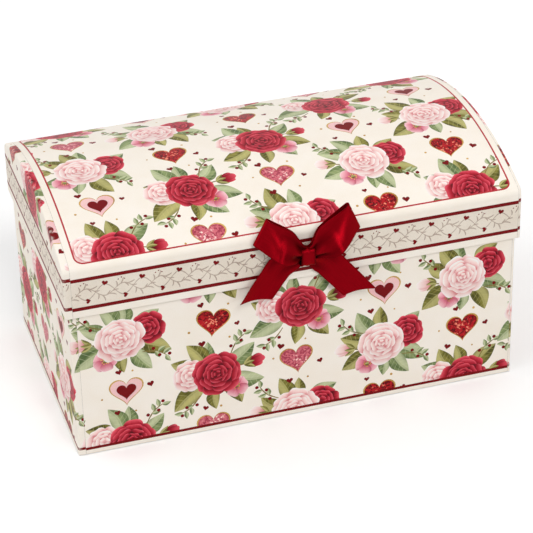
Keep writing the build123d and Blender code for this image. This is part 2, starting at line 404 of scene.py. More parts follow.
def fine_weave() -> Effect:
    """Satin weave along a ribbon: fine weft ribs, faint warp streaks and a corded edge; it also passes on
    the ribbon's painted shade.

    Returns:
        The node group.
    """
    warps_across, warps_along, cord = 60.0, 90.0, (0.9, 0.97)
    rib_height, warp_height, cord_height = 0.4, 0.6, 0.8
    results = {"Height": VALUE, "Streak": VALUE, "Edge": VALUE, "Gather": VALUE}
    effect = Effect("fine_weave", {"Rib": 0.00035}, results)
    nodes = effect.nodes
    # the third part of the ribbon attribute is painted shade: darker in the gathers near the knot and on
    # the knot's tucked edges
    across, along, gather = nodes.attribute("ribbon")
    turn = nodes.math("DIVIDE", nodes.times(along, ROUND), effect.given["Rib"])
    rib = nodes.scaled(nodes.math("SINE", turn), 0.5, 0.5)
    warp_at = nodes.joined(nodes.times(across, warps_across), nodes.times(along, warps_along), 0.0)
    warp = nodes.noise(warp_at, 1.0)
    edge = nodes.smooth(nodes.math("ABSOLUTE", across), *cord)
    height = nodes.math("ADD", nodes.times(rib, rib_height), nodes.times(warp, warp_height))
    height = nodes.math("ADD", height, nodes.times(edge, cord_height))
    return effect.put(Height=height, Streak=warp, Edge=edge, Gather=gather)


class Shade(Enum):
    """How a print finish lays its colours down."""

    FLAT = "flat"
    PETAL = "petal"
    LEAF = "leaf"
    GLITTER = "glitter"


@dataclass(frozen=True)
class Effects:
    """The shared node groups, built once."""

    paper: Effect = field(default_factory=paper_grain)
    petal: Effect = field(default_factory=petal_shade)
    leaf: Effect = field(default_factory=leaf_shade)
    glitter: Effect = field(default_factory=glitter)
    weave: Effect = field(default_factory=fine_weave)


PAPER_CORE = srgb(244, 238, 226)


@dataclass(frozen=True)
class PrintFinish:
    """Ink on a matt-laminated sheet, from its deepest tint to its lightest."""

    deep: Colour
    light: Colour
    middle: Colour = WHITE
    shade: Shade = Shade.FLAT
    roughness: float = 0.46
    unevenness: float = 0.12
    bump: float = 0.05
    relief: float = 0.0002
    wear: float = 0.6
    gloss: float = 0.14
    mottle: tuple[float, float] = (0.35, 0.65)

    def colour(self, nodes: Nodes, effects: Effects, mottle: Socket) -> Socket:
        """Lays the colours down by the finish's own shade.

        Args:
            nodes: The material's nodes.
            effects: The shared effects.
            mottle: The sheet's mottle, for a flat tint.

        Returns:
            The colour.
        """
        if self.shade is Shade.FLAT:
            return nodes.mix(nodes.smooth(mottle, *self.mottle), self.deep, self.light)
        effect = getattr(effects, self.shade.value)
        return effect.use(nodes, Deep=self.deep, Middle=self.middle, Light=self.light)["Color"]

    def material(self, name: str, effects: Effects) -> bpy.types.Material:
        """Makes the material.

        Args:
            name: The material's name.
            effects: The shared effects.

        Returns:
            The material.
        """
        made, nodes = new_material(name)
        grain = effects.paper.use(nodes, Wear=self.wear)
        ink = self.colour(nodes, effects, grain["Mottle"])
        smoothest = self.roughness - self.unevenness / 2
        nodes.principled(
            {
                "Base Color": nodes.mix(grain["Worn"], ink, PAPER_CORE),
                "Roughness": nodes.scaled(grain["Mottle"], self.unevenness, smoothest),
                "Normal": nodes.bump(grain["Height"], self.bump, self.relief),
                "Specular IOR Level": self.gloss,
            }
        )
        return made


PRINT: dict[Ink, PrintFinish] = {
    Ink.GROUND: PrintFinish(srgb(249, 239, 225), srgb(252, 244, 233)),
    Ink.BAND: PrintFinish(srgb(230, 218, 202), srgb(240, 230, 216)),
    Ink.RULE: PrintFinish(srgb(110, 1, 7), srgb(126, 4, 11)),
    Ink.FRAME: PrintFinish(srgb(172, 40, 48), srgb(192, 60, 66)),
    Ink.VINE: PrintFinish(srgb(176, 156, 141), srgb(198, 179, 163)),
    Ink.CRIMSON_PETAL: PrintFinish(srgb(86, 6, 18), srgb(222, 78, 94), srgb(172, 24, 44), Shade.PETAL),
    Ink.ROSE_PETAL: PrintFinish(
        srgb(172, 58, 82), srgb(248, 196, 202), srgb(224, 122, 142), Shade.PETAL
    ),
    Ink.BLUSH_PETAL: PrintFinish(
        srgb(220, 136, 138), srgb(255, 242, 236), srgb(247, 210, 205), Shade.PETAL
    ),
    Ink.SAGE_LEAF: PrintFinish(
        srgb(84, 104, 62), srgb(216, 220, 178), srgb(148, 162, 108), Shade.LEAF
    ),
    Ink.OLIVE_LEAF: PrintFinish(srgb(78, 76, 30), srgb(206, 198, 130), srgb(140, 134, 62), Shade.LEAF),
    Ink.STEM: PrintFinish(srgb(112, 100, 48), srgb(148, 122, 70)),
    Ink.GOLD: PrintFinish(srgb(168, 118, 44), srgb(222, 182, 100), roughness=0.34),
    Ink.CRIMSON_HEART: PrintFinish(
        srgb(92, 4, 12), srgb(246, 150, 122), srgb(186, 22, 32), Shade.GLITTER, roughness=0.36
    ),
    Ink.ROSE_HEART: PrintFinish(
        srgb(168, 58, 78), srgb(255, 222, 214), srgb(216, 112, 124), Shade.GLITTER, roughness=0.36
    ),
    Ink.BLUSH_HEART: PrintFinish(srgb(240, 186, 188), srgb(248, 208, 206)),
    Ink.POLLEN: PrintFinish(srgb(176, 112, 28), srgb(238, 198, 100)),
}
LINING = PrintFinish(srgb(246, 240, 228), srgb(251, 247, 238), roughness=0.62, bump=0.12)
BOTTOM = PrintFinish(srgb(240, 232, 217), srgb(247, 241, 229), roughness=0.6, bump=0.1)


@dataclass(frozen=True)
class MottledFinish:
    """An unprinted stuff with a cloudy body, and with flecks in it or none."""

    dark: Colour
    pale: Colour
    scale: float
    detail: float
    spread: tuple[float, float]
    bump: float
    relief: float
    roughness: float
    gloss: float = 0.5
    fleck: Colour | None = None
    fleck_scale: float = 1500.0
    fleck_spread: tuple[float, float] = (0.66, 0.72)

    def material(self, name: str) -> bpy.types.Material:
        """Makes the material.

        Args:
            name: The material's name.

        Returns:
            The material.
        """
        made, nodes = new_material(name)
        where = nodes.place()
        cloud = nodes.noise(where, self.scale, self.detail)
        colour = nodes.mix(nodes.smooth(cloud, *self.spread), self.dark, self.pale)
        if self.fleck:
            flecks = nodes.smooth(nodes.noise(where, self.fleck_scale), *self.fleck_spread)
            colour = nodes.mix(flecks, colour, self.fleck)
        nodes.principled(
            {
                "Base Color": colour,
                "Normal": nodes.bump(cloud, self.bump, self.relief),
                "Roughness": self.roughness,
                "Specular IOR Level": self.gloss,
            }
        )
        return made


GREYBOARD = MottledFinish(
    dark=srgb(140, 132, 120),
    pale=srgb(186, 179, 167),
    scale=520.0,
    detail=4.0,
    spread=(0.3, 0.7),
    bump=0.35,
    relief=0.0002,
    roughness=0.85,
    gloss=0.2,
    fleck=srgb(96, 88, 80),
)
SET_GLUE = MottledFinish(
    dark=srgb(226, 214, 186),
    pale=srgb(240, 232, 212),
    scale=600.0,
    detail=3.0,
    spread=(0.35, 0.65),
    bump=0.2,
    relief=0.0003,
    roughness=0.35,
)
RIBBON_RUN = "ribbon_run"  # the layout along a ribbon that its sheen follows


@dataclass(frozen=True)
class SatinFinish:
    """Crimson satin ribbon with fine weft ribs and a corded edge."""

    deep: Colour = srgb(122, 4, 14)
    bright: Colour = srgb(140, 5, 18)
    edge: Colour = srgb(112, 3, 12)
    # painted shade: the colour laid into the gathers near the knot and on the knot's tucked edges, where
    # shade falls
    gathered: Colour = srgb(30, 0, 3)
    lustre: Colour = srgb(255, 22, 32)
    streak_range: tuple[float, float] = (0.3, 0.7)
    edge_share: float = 0.6
    roughness: float = 0.34
    unevenness: float = 0.1
    bump: float = 0.035
    relief: float = 0.0001
    sheen: float = 0.7  # share of the light that the yarn throws back in its own colour
    gloss: float = 0.1
    grain: float = 0.85

    def material(self, name: str, effects: Effects) -> bpy.types.Material:
        """Makes the material.

        Args:
            name: The material's name.
            effects: The shared effects.

        Returns:
            The material.
        """
        made, nodes = new_material(name)
        weave = effects.weave.use(nodes)
        colour = nodes.mix(nodes.smooth(weave["Streak"], *self.streak_range), self.deep, self.bright)
        colour = nodes.mix(nodes.times(weave["Edge"], self.edge_share), colour, self.edge)
        across = nodes.add("ShaderNodeTangent", {}, direction_type="UV_MAP", uv_map=RIBBON_RUN)
        smoothest = self.roughness - self.unevenness / 2
        nodes.principled(
            {
                # painted shade darkens the satin in the gathers and on the knot's tucked edges
                "Base Color": nodes.mix(weave["Gather"], colour, self.gathered),
                "Roughness": nodes.scaled(weave["Streak"], self.unevenness, smoothest),
                "Normal": nodes.bump(weave["Height"], self.bump, self.relief),
                "Tangent": across.outputs[0],
                "Metallic": self.sheen,
                "Specular IOR Level": self.gloss,
                "Specular Tint": self.lustre,
                "Anisotropic": self.grain,
            }
        )
        return made


def turn_by(angle: float) -> Points:
    """Matrix of a turn in the flat, by an angle in radians."""
    return np.array([[math.cos(angle), -math.sin(angle)], [math.sin(angle), math.cos(angle)]])


def circle(turn: Points) -> Points:
    """Points of the unit circle at angles in radians."""
    return np.column_stack([np.cos(turn), np.sin(turn)])


def all_round(count: int) -> Points:
    """That many even angles all round."""
    return np.linspace(0, ROUND, count, endpoint=False)


def eased(share: Points) -> Points:
    """A share from 0 to 1 that starts and stops softly."""
    return share * share * (3 - 2 * share)


@dataclass(frozen=True)
class Region:
    """One closed patch of print in the flat, in millimetres, with the frame that its shading follows."""

    outline: Points  # points round the patch
    ink: Ink  # what it is printed with
    origin: Points = field(default_factory=lambda: np.zeros(2))  # where its shading starts
    axis: Points = field(default_factory=lambda: np.array([1.0, 0.0]))  # to where its shading ends
    half_width: float = 1.0  # reach of its shading to each side
    paint: tuple[float, float] = (0.0, 1.0)  # two values for the ink's shading
    seed: float = 0.0  # sets its streaks apart from its neighbours'
    in_panel: bool = False  # whether it is cut to the sheet's panel

    def moved(self, x: float, y: float, angle: float = 0.0) -> "Region":
        """The same patch turned by an angle and then moved.

        Args:
            x: Move to the right.
            y: Move up.
            angle: Turn in radians.

        Returns:
            The moved patch.
        """
        matrix, shift = turn_by(angle), np.array([x, y])
        outline, origin = self.outline @ matrix.T + shift, matrix @ self.origin + shift
        return replace(self, outline=outline, origin=origin, axis=matrix @ self.axis)


def placed(regions: Sequence[Region], x: float, y: float, degrees: float = 0.0) -> list[Region]:
    """The patches of a motif, all turned by an angle in degrees and moved."""
    return [region.moved(x, y, math.radians(degrees)) for region in regions]


def patch(along: Points, across: Points, size: tuple[float, float], ink: Ink, **shading: object) -> Region:
    """A patch from its outline in shares of a length and a half width.

    Args:
        along: Places round the outline along its axis, from 0 to about 1.
        across: Places round the outline across it, from about -1 to 1.
        size: Length of the axis, and half width.
        ink: What it is printed with.
        **shading: Other fields of the region.

    Returns:
        The patch, with its origin at the flat's origin and its axis to the right.
    """
    length, width = size
    outline = np.column_stack([along * length, across * width])
    return Region(outline, ink, axis=np.array([length, 0.0]), half_width=width, **shading)


def heart(size: float, ink: Ink) -> Region:
    """A plain heart, upright about the origin.

    Args:
        size: Its height.
        ink: What it is printed with.

    Returns:
        The heart.
    """
    points, wide, waves, tall, rise = 44, 16, (13, -5, -2, -1), 29, 2.5
    turn = all_round(points)
    x = wide * np.sin(turn) ** 3
    y = sum(weight * np.cos(order * turn) for order, weight in enumerate(waves, start=1))
    scale = size / tall
    reach = tall / 2 * scale
    outline = np.column_stack([x, y + rise]) * scale
    return Region(outline, ink, axis=np.array([reach, 0.0]), half_width=reach)


def dot(radius: float, ink: Ink, x: float = 0.0, y: float = 0.0) -> Region:
    """A round dot at a place."""
    return Region(np.array([x, y]) + radius * circle(all_round(DOT_POINTS)), ink)


def stroke(line: Points, width: float, ink: Ink) -> Region:
    """A brush stroke along a line, thinner at its ends.

    Args:
        line: Points along it.
        width: Its width in the middle.
        ink: What it is printed with.

    Returns:
        The stroke.
    """
    tip, swell = 0.45, 0.55
    way = np.gradient(line, axis=0)
    side = np.column_stack([-way[:, 1], way[:, 0]]) / np.linalg.norm(way, axis=1)[:, None]
    taper = (tip + swell * np.sin(np.linspace(0, math.pi, len(line))))[:, None] * width / 2
    return Region(np.concatenate([line + side * taper, (line - side * taper)[::-1]]), ink)


class Posy(Enum):
    """The two bunches that the print alternates."""

    CRIMSON = 0
    BLUSH = 1


class HeartKind(Enum):
    """The three hearts that stand between the bunches."""

    CRIMSON = 0
    ROSE = 1
    NESTED = 2


def heart_motif(kind: HeartKind, size: float) -> list[Region]:
    """A plain heart with a thin gold rim, or with a second heart in it.

    Args:
        kind: Which of the three hearts.
        size: Its height.

    Returns:
        Its patches about the origin, the lowest first.
    """
    rim, inner = 1.09, 0.62
    made = [heart(size * rim, Ink.GOLD)]
    if kind is HeartKind.NESTED:
        made += [heart(size, Ink.BLUSH_HEART), heart(size * inner, Ink.RULE)]
    else:
        made.append(heart(size, Ink.CRIMSON_HEART if kind is HeartKind.CRIMSON else Ink.ROSE_HEART))
    return made


DOT_POINTS = 12
SEEDS = 9
UNEVEN = (0.92, 1.06)  # how much petals differ in length, and leaves in tone
Rings = tuple[tuple[float, int, float], ...]  # reach, count and half width of each ring's petals
INNER_RINGS: Rings = ((0.43, 5, 0.25), (0.27, 4, 0.17), (0.14, 3, 0.09))
FULL_RINGS: Rings = ((1.0, 7, 0.46), (0.8, 6, 0.42), (0.61, 6, 0.32), *INNER_RINGS)
HALF_RINGS: Rings = ((1.0, 6, 0.5), (0.74, 6, 0.38), (0.5, 5, 0.28), (0.28, 4, 0.18))
OPEN_RINGS: Rings = ((1.0, 5, 0.56),)
POSY_LEAVES = {35: 19, -28: 20, 152: 18, 206: 21, 92: 15, -98: 14, -62: 18, 118: 19}  # lengths by degrees


@dataclass(frozen=True)
class Painter:
    """Paints the print's motifs, no two alike. Each motif's patches come the lowest first."""

    rng: np.random.Generator

    def stray(self, most: float) -> float:
        """A random value up to the most, to either side."""
        return self.rng.uniform(-most, most)

    def petal(self, size: tuple[float, float], ink: Ink, root: float, tone: float) -> Region:
        """A petal with a ruffled rim and a small notch at its tip.

        Args:
            size: Length from the flower's middle to the tip, and half width.
            ink: What it is printed with.
            root: Share of the length that the petals above it cover.
            tone: Brightness.

        Returns:
            The petal along the x axis.
        """
        points, ruffle, frill, waist = 26, 0.035, 0.022, 0.84
        notch_depth, notch_span = 0.1, 0.32
        turn = np.linspace(-math.pi, math.pi, points, endpoint=False)
        first, second = self.rng.uniform(0, ROUND, 2)
        wave = 1 + ruffle * np.sin(3 * turn + first) + frill * np.sin(6 * turn + second)
        along = 0.5 + 0.5 * np.cos(turn)
        across = np.sin(turn) * (0.5 + 0.5 * along) / waist * wave
        notch = self.rng.uniform(0.0, notch_depth) * np.exp(-((turn / notch_span) ** 2))
        along = 0.5 + (along - 0.5) * wave - notch
        return patch(along, across, size, ink, paint=(root, tone), seed=self.rng.uniform(0, SEEDS))

    def leaf(self, size: tuple[float, float], ink: Ink) -> Region:
        """A pointed leaf with a bowed midrib and a faintly toothed rim.

        Args:
            size: Length, and half width.
            ink: What it is printed with.

        Returns:
            The leaf along the x axis.
        """
        points, tooth, teeth, belly, blunt, most_bend = 15, 0.05, 44, 0.85, 0.9, 0.5
        bend = self.stray(most_bend)
        up = np.linspace(0.0, 1.0, points)
        half = np.sin(math.pi * up**belly) ** blunt * (1 + tooth * np.sin(up * teeth))
        along = np.concatenate([up, up[-2:0:-1]])
        across = np.concatenate([half, -half[-2:0:-1]]) + bend * np.sin(math.pi * along)
        tone = self.rng.uniform(*UNEVEN)
        return patch(along, across, size, ink, paint=(bend, tone), seed=self.rng.uniform(0, SEEDS))

    def blossom(self, radius: float, ink: Ink, rings: Rings) -> list[Region]:
        """A flower of rings of overlapping petals about the origin.

        Args:
            radius: Radius of the widest ring.
            ink: What its petals are printed with.
            rings: Its rings, in shares of the radius, the widest first.

        Returns:
            Its petals.
        """
        stray, sky, dusk, covered = 0.12, 0.07, 0.03, 0.78
        made = []
        for ring, (reach, count, breadth) in enumerate(rings):
            above = rings[ring + 1][0] if ring + 1 < len(rings) else 0.0
            start = self.rng.uniform(0, ROUND)
            for step in range(count):
                angle = start + ROUND * (step + self.stray(stray)) / count
                length = radius * reach * self.rng.uniform(*UNEVEN)
                tone = 1 + sky * math.sin(angle) - dusk * ring * (ink is not Ink.BLUSH_PETAL)
                one = self.petal((length, radius * breadth), ink, covered * above / reach, tone)
                made.append(one.moved(0, 0, angle))
        return made

    def open_flower(self, radius: float, ink: Ink) -> list[Region]:
        """A small five-petalled flower with a ring of stamens.

        Args:
            radius: Its radius.
            ink: What its petals are printed with.

        Returns:
            Its patches about the origin.
        """
        stamens, stray, ring, eye, tip = 9, 0.2, (0.22, 0.34), 0.17, 0.055
        made = self.blossom(radius, ink, OPEN_RINGS)
        made.append(dot(radius * eye, Ink.OLIVE_LEAF))
        for step in range(stamens):
            angle = ROUND * step / stamens + self.stray(stray)
            reach = radius * self.rng.uniform(*ring)
            made.append(dot(radius * tip, Ink.POLLEN, reach * math.cos(angle), reach * math.sin(angle)))
        return made

    def bud(self, length: float, ink: Ink) -> list[Region]:
        """A closed bud on a stem, held by three sepals.

        Args:
            length: Length of the bud without its stem.
            ink: What its petals are printed with.

        Returns:
            Its patches along the x axis.
        """
        stem_from, stem_to, stem_bow, stem_width, points = -0.75, 0.15, 0.08, 0.07, 8
        petals, petal_width, root = ((0.18, 0.92), (-0.18, 0.92), (0.0, 1.0)), 0.24, 0.25
        sepals, sepal_width, sepal_start = ((0.62, 0.6), (-0.62, 0.6), (0.05, 0.52)), 0.1, -0.02
        run = np.linspace(stem_from, stem_to, points)
        line = np.column_stack([run, stem_bow * np.sin(np.linspace(0, 3, points))]) * length
        made = [stroke(line, length * stem_width, Ink.STEM)]
        for angle, share in petals:
            one = self.petal((length * share, length * petal_width), ink, root, 1.0)
            made.append(one.moved(0, 0, angle))
        for angle, share in sepals:
            one = self.leaf((length * share, length * sepal_width), Ink.OLIVE_LEAF)
            made.append(one.moved(sepal_start * length, 0, angle))
        return made

    def sprig(self, length: float) -> list[Region]:
        """A thin bent twig with small leaves and berries.

        Args:
            length: Its length.

        Returns:
            Its patches along the x axis.
        """
        points, bare, bow, bend, width = 10, 3, 0.16, 2.6, 0.8
        berry, berry_off, leaf_size, leaf_turn, leaf_lean = 1.05, 1.7, (5.2, 1.3), 0.8, 0.2
        along = np.linspace(0, 1, points)
        line = np.column_stack([along, bow * np.sin(along * bend)]) * length
        made = [stroke(line, width, Ink.STEM)]
        for step in range(bare, points):
            side = 1 if step % 2 else -1
            x, y = line[step]
            if step % 3 == 0:
                made.append(dot(berry, Ink.RULE, x, y + side * berry_off))
            else:
                one = self.leaf(leaf_size, Ink.SAGE_LEAF)
                made.append(one.moved(x, y, side * leaf_turn + leaf_lean))
        return made

    def posy(self, kind: Posy) -> list[Region]:
        """A bunch of two double flowers, a small one, a bud, two sprigs and leaves.

        Args:
            kind: Which of the two bunches.

        Returns:
            Its patches about the origin.
        """
        sage_share, uneven, stray, start, slim, upright = 0.6, (0.9, 1.1), 7, 8.0, 0.27, 90
        side, main, second = 1, Ink.CRIMSON_PETAL, Ink.BLUSH_PETAL
        if kind is Posy.BLUSH:
            side, main, second = -1, second, main
        made = []
        for degrees, reach in POSY_LEAVES.items():
            ink = Ink.SAGE_LEAF if self.rng.uniform() < sage_share else Ink.OLIVE_LEAF
            length = reach * self.rng.uniform(*uneven)
            turn = math.radians(degrees + self.stray(stray))
            one = self.leaf((length, length * slim), ink)
            made.append(one.moved(start * math.cos(turn), start * math.sin(turn), turn))
        # each part's size, and where it sits in the bunch; the second bunch is mirrored
        made += placed(self.sprig(17), side * 10, 9, upright - side * 48)
        made += placed(self.sprig(15), -side * 10, -10, upright + side * 118)
        made += placed(self.bud(12, main), side * 17, 1, upright - side * 84)
        made += placed(self.blossom(10.5, second, HALF_RINGS), -side * 13.5, 4.5)
        made += placed(self.open_flower(7.0, Ink.ROSE_PETAL), side * 10.5, -11)
        made += placed(self.blossom(14.5, main, FULL_RINGS), side * 1.5, 0.5)
        return made

    def scatter(self, reach: float) -> list[Region]:
        """Small hearts and dots round a motif.

        Args:
            reach: Their distance from its middle.

        Returns:
            Their patches.
        """
        count, stray, dots, hearts, lean = 6, 16, (0.5, 0.8), (2.6, 3.8), 25
        made = []
        for step in range(count):
            angle = math.radians(360 * step / count + self.stray(stray))
            x, y = reach * math.cos(angle), reach * math.sin(angle)
            if step % 2:
                made.append(dot(self.rng.uniform(*dots), Ink.GOLD, x, y))
            else:
                one = heart(self.rng.uniform(*hearts), Ink.RULE)
                made.append(one.moved(x, y, math.radians(self.stray(lean))))
        return made


@dataclass(frozen=True)
class HalfDrop:
    """Half-drop repeat of bunches and hearts over a panel: every second column sits half a step higher."""

    step_x: float = 49.0
    step_y: float = 69.0
    shift: float = 1.5
    bunch_lean: float = 9
    heart_size: float = 16.0
    heart_lean: float = 8
    scatter_reach: float = 0.86
    margin: float = 1.0

    def fill(self, low: Points, high: Points, seed: int) -> list[Region]:
        """Fills a sheet's panel.

        Args:
            low: The panel's lower left corner.
            high: Its upper right corner.
            seed: Sets its unevenness apart from other panels'.

        Returns:
            The patches, the lowest first, cut to the panel.
        """
        painter = Painter(np.random.default_rng(seed))
        middle = (low + high) / 2
        columns = math.ceil((high[0] - low[0]) / 2 / self.step_x)
        rows = math.ceil((high[1] - low[1]) / 2 / self.step_y) + 1
        made = []
        for column in range(-columns, columns + 1):
            drop = 0.5 * (column % 2)
            for row in range(-rows, rows + 1):
                x = middle[0] + column * self.step_x + painter.stray(self.shift)
                y = middle[1] + (row + drop) * self.step_y
                between = y + self.step_y / 2
                bunch = painter.posy(Posy((column // 2 + row) % 2))
                made += placed(bunch, x, y, painter.stray(self.bunch_lean))
                mark = heart_motif(HeartKind((column + 2 * row) % 3), self.heart_size)
                made += placed(mark, x, between, painter.stray(self.heart_lean))
                made += placed(painter.scatter(self.heart_size * self.scatter_reach), x, between)
        low, high = low - self.margin, high + self.margin
        return [
            replace(one, in_panel=True)
            for one in made
            if np.all(one.outline.max(axis=0) > low) and np.all(one.outline.min(axis=0) < high)
        ]


TIGHT = 2.0  # a bend of a smaller radius is rubbed
RUBBED = 0.9  # how far the rubbing reaches beside it
Run = tuple[float, float]  # length and turn; a straight run turns by 0


def walk(place: Points, heading: float, run: Run, walked: Points) -> tuple[Points, Points]:
    """Walks along one run of a section.

    Args:
        place: Where the run starts.
        heading: Its direction there, in radians.
        run: Its length and turn.
        walked: Distances from its start.

    Returns:
        Points and normals to the left.
    """
    length, turn = run
    angle = heading - turn * walked / length
    if turn:
        chord = [math.sin(heading) - np.sin(angle), np.cos(angle) - math.cos(heading)]
        step = length / turn * np.column_stack(chord)
    else:
        step = walked[:, None] * np.array([math.cos(heading), math.sin(heading)])
    return place + step, np.column_stack([-np.sin(angle), np.cos(angle)])


@dataclass(frozen=True)
class FoldPath:
    """Section of a folded sheet: straight runs and right-hand bends, with the printed side on the left."""

    start: tuple[float, float]  # where the section starts
    heading: float  # its first direction, in radians
    runs: tuple[Run, ...]
    zero: float  # flat distance at the start
    chord: float = 5.0  # longest straight piece of a bend
    steepest: float = 0.27  # largest turn between two pieces of a bend

    @property
    def marks(self) -> Points:
        """Flat distances at which the runs start, and the end of the last."""
        return self.zero + np.concatenate([[0.0], np.cumsum([length for length, _ in self.runs])])

    def at(self, flat: Points) -> tuple[Points, Points]:
        """Places and printed-side normals in the section.

        Args:
            flat: Flat distances.

        Returns:
            Points and unit normals, a row for each distance.
        """
        marks = self.marks
        which = np.clip(np.searchsorted(marks, flat, side="right") - 1, 0, len(self.runs) - 1)
        points, normals = np.zeros((len(flat), 2)), np.zeros((len(flat), 2))
        place, heading = np.array(self.start), self.heading
        for number, run in enumerate(self.runs):
            here = which == number
            points[here], normals[here] = walk(place, heading, run, flat[here] - marks[number])
            place = walk(place, heading, run, np.array([run[0]]))[0][0]
            heading -= run[1]
        return points, normals

    def creases(self) -> list[float]:
        """Finds where the sheet has to bend.

        Returns:
            Flat distances.
        """
        found = []
        for (length, turn), mark in zip(self.runs, self.marks):
            if turn:
                count = max(math.ceil(length / self.chord), math.ceil(turn / self.steepest))
                found += [mark + length * step / count for step in range(count + 1)]
                if length / turn < TIGHT:
                    found += [mark - RUBBED, mark + length + RUBBED]
        return found

    def rubbed(self, flat: Points) -> Points:
        """Finds where the sheet is rubbed, in its tight bends and a little beside them.

        Args:
            flat: Flat distances.

        Returns:
            Rubbing, from 0 to 1.
        """
        wear = np.zeros(len(flat))
        for (length, turn), mark in zip(self.runs, self.marks):
            if turn and length / turn < TIGHT:
                off = np.maximum(mark - flat, flat - mark - length)
                wear = np.maximum(wear, np.clip(1 - off / RUBBED, 0, 1))
        return wear


def round_edge(past: Points, radius: float) -> tuple[Points, Points, Points]:
    """Bends a sheet by a right angle round an edge.

    Args:
        past: Distances past the start of the bend.
        radius: The bend's radius.

    Returns:
        Angles turned, distances past the bend's end, and rubbing.
    """
    arc = radius * QUARTER
    angle = np.minimum(past / radius, QUARTER)
    rubbed = np.clip(1 - np.abs(past - arc / 2) / (arc / 2 + RUBBED), 0, 1)
    return angle, np.clip(past - arc, 0, None), np.where(past > 0, rubbed, 0)


def left_handed(loop: Points) -> Points:
    """Turns a closed outline the right way round.

    Args:
        loop: Its points.

    Returns:
        The points, walked with the inside on the left.
    """
    ahead = np.roll(loop, -1, axis=0)
    area = (loop[:, 0] * ahead[:, 1] - loop[:, 1] * ahead[:, 0]).sum()
    return loop if area > 0 else loop[::-1]


@dataclass
class PrintedSheet:
    """A printed sheet, cut in the flat along the outlines of its print and folded onto the box."""

    name: str  # the piece's name
    outline: Points  # the sheet's cut, in the flat
    creases: list[Points]  # lines along which it bends
    panel: Points  # outline that patches may be cut to
    regions: list[Region]  # patches of print, the lowest first
    fold: Callable[[Points], Folded]  # folds points in the flat, in millimetres

    def cut(self) -> tuple[Points, Points, Points]:
        """Cuts the sheet into triangles along every outline and crease.

        Returns:
            Flat points, corners of each triangle, and the number of each triangle's patch, or -1.
        """
        inside_only, weld = 1, 1e-5
        loops = [self.outline, self.panel, *(one.outline for one in self.regions)]
        points: list[Points] = []
        faces, edges = [], []
        for loop in loops:
            faces.append(list(range(len(points), len(points) + len(loop))))
            points += list(left_handed(loop))
        for line in self.creases:
            edges += [(len(points) + step, len(points) + step + 1) for step in range(len(line) - 1)]
            points += list(line)
        vectors = [Vector(point) for point in points]
        flat, _, triangles, _, _, origins = delaunay_2d_cdt(vectors, edges, faces, inside_only, weld, True)
        first = len(loops) - len(self.regions)
        needs = [int(region.in_panel) for region in self.regions]  # the loop that a patch is cut to
        kept, patches = [], []
        for corners, sources in zip(triangles, origins):
            if 0 not in sources:
                continue
            over = [s - first for s in sources if s >= first and needs[s - first] in sources]
            kept.append(corners)
            patches.append(max(over, default=-1))
        return np.array(flat), np.array(kept), np.array(patches)

    def build(self, materials: list[bpy.types.Material]) -> bpy.types.Object:
        """Makes the folded sheet.

        Args:
            materials: The print's materials, in the order of the inks.

        Returns:
            The sheet as a mesh object.
        """
        layout_room, layout_edge = 1.01, 0.004
        flat, corners, patches = self.cut()
        used, numbers = np.unique(corners, return_inverse=True)
        flat, corners = flat[used], numbers.reshape(corners.shape)
        places, normals, rubbed = self.fold(flat)
        mesh = bpy.data.meshes.new(self.name)
        mesh.from_pydata((places * MM).tolist(), [], corners.tolist())
        inks = np.array([region.ink.value for region in self.regions] + [Ink.GROUND.value])
        for material in materials:
            mesh.materials.append(material)
        mesh.polygons.foreach_set("material_index", inks[patches])
        self.shade(mesh, flat[corners], patches)
        fold = mesh.attributes.new("fold", "FLOAT", "POINT")
        fold.data.foreach_set("value", rubbed.astype(np.float32))
        low = flat.min(axis=0)
        layout = (flat - low) / ((flat - low).max() * layout_room) + layout_edge
        map_ = mesh.uv_layers.new(name="OFBake")
        map_.data.foreach_set("uv", layout[corners].astype(np.float32).ravel())
        mesh.polygons.foreach_set("use_smooth", np.ones(len(corners), bool))
        mesh.normals_split_custom_set_from_vertices(normals.tolist())
        mesh.update()
        return new_object(self.name, mesh)

    def shade(self, mesh: bpy.types.Mesh, where: Points, patches: Points) -> None:
        """Gives each corner its place in its patch's frame and the patch's paint.

        Args:
            mesh: The sheet's mesh.
            where: Flat place of each triangle's corners.
            patches: Number of each triangle's patch.
        """
        regions = [*self.regions, Region(self.outline, Ink.GROUND)]
        origin = np.array([one.origin for one in regions])[patches][:, None]
        axis = np.array([one.axis for one in regions])[patches][:, None]
        width = np.array([one.half_width for one in regions])[patches][:, None]
        paint = np.array([(*one.paint, 0.0) for one in regions])[patches]
        seed = np.array([one.seed for one in regions])[patches]
        length = np.linalg.norm(axis, axis=2)
        away = where - origin
        along = (away * axis).sum(axis=2) / length**2
        across = (away[..., 1] * axis[..., 0] - away[..., 0] * axis[..., 1]) / (length * width)
        motif = np.stack([along, across, np.repeat(seed[:, None], 3, axis=1)], axis=2)
        for name, values in (("motif", motif), ("paint", np.repeat(paint[:, None], 3, axis=1))):
            made = mesh.attributes.new(name, "FLOAT_VECTOR", "CORNER")
            made.data.foreach_set("vector", values.astype(np.float32).ravel())


def box_of(low: Sequence[float], high: Sequence[float]) -> Points:
    """Corners of an upright rectangle in the flat."""
    return np.array([(low[0], low[1]), (high[0], low[1]), (high[0], high[1]), (low[0], high[1])])


def rounded_box(low: Points, high: Points, radius: float) -> Points:
    """Outline of an upright rectangle with round corners in the flat.

    Args:
        low: Its lower left corner.
        high: Its upper right corner.
        radius: Its corners' radius.

    Returns:
        Points round it.
    """
    steps, inner = 7, box_of(low + radius, high - radius)
    points = []
    for quarter, middle in enumerate(np.roll(inner, 2, axis=0)):
        turn = quarter * QUARTER + np.linspace(0, QUARTER, steps)
        points += list(middle + radius * circle(turn))
    return np.array(points)


def strip(low: float, high: float, reach: float, ink: Ink) -> Region:
    """A straight printed strip between two heights, as far to each side."""
    return Region(box_of((-reach, low), (reach, high)), ink)


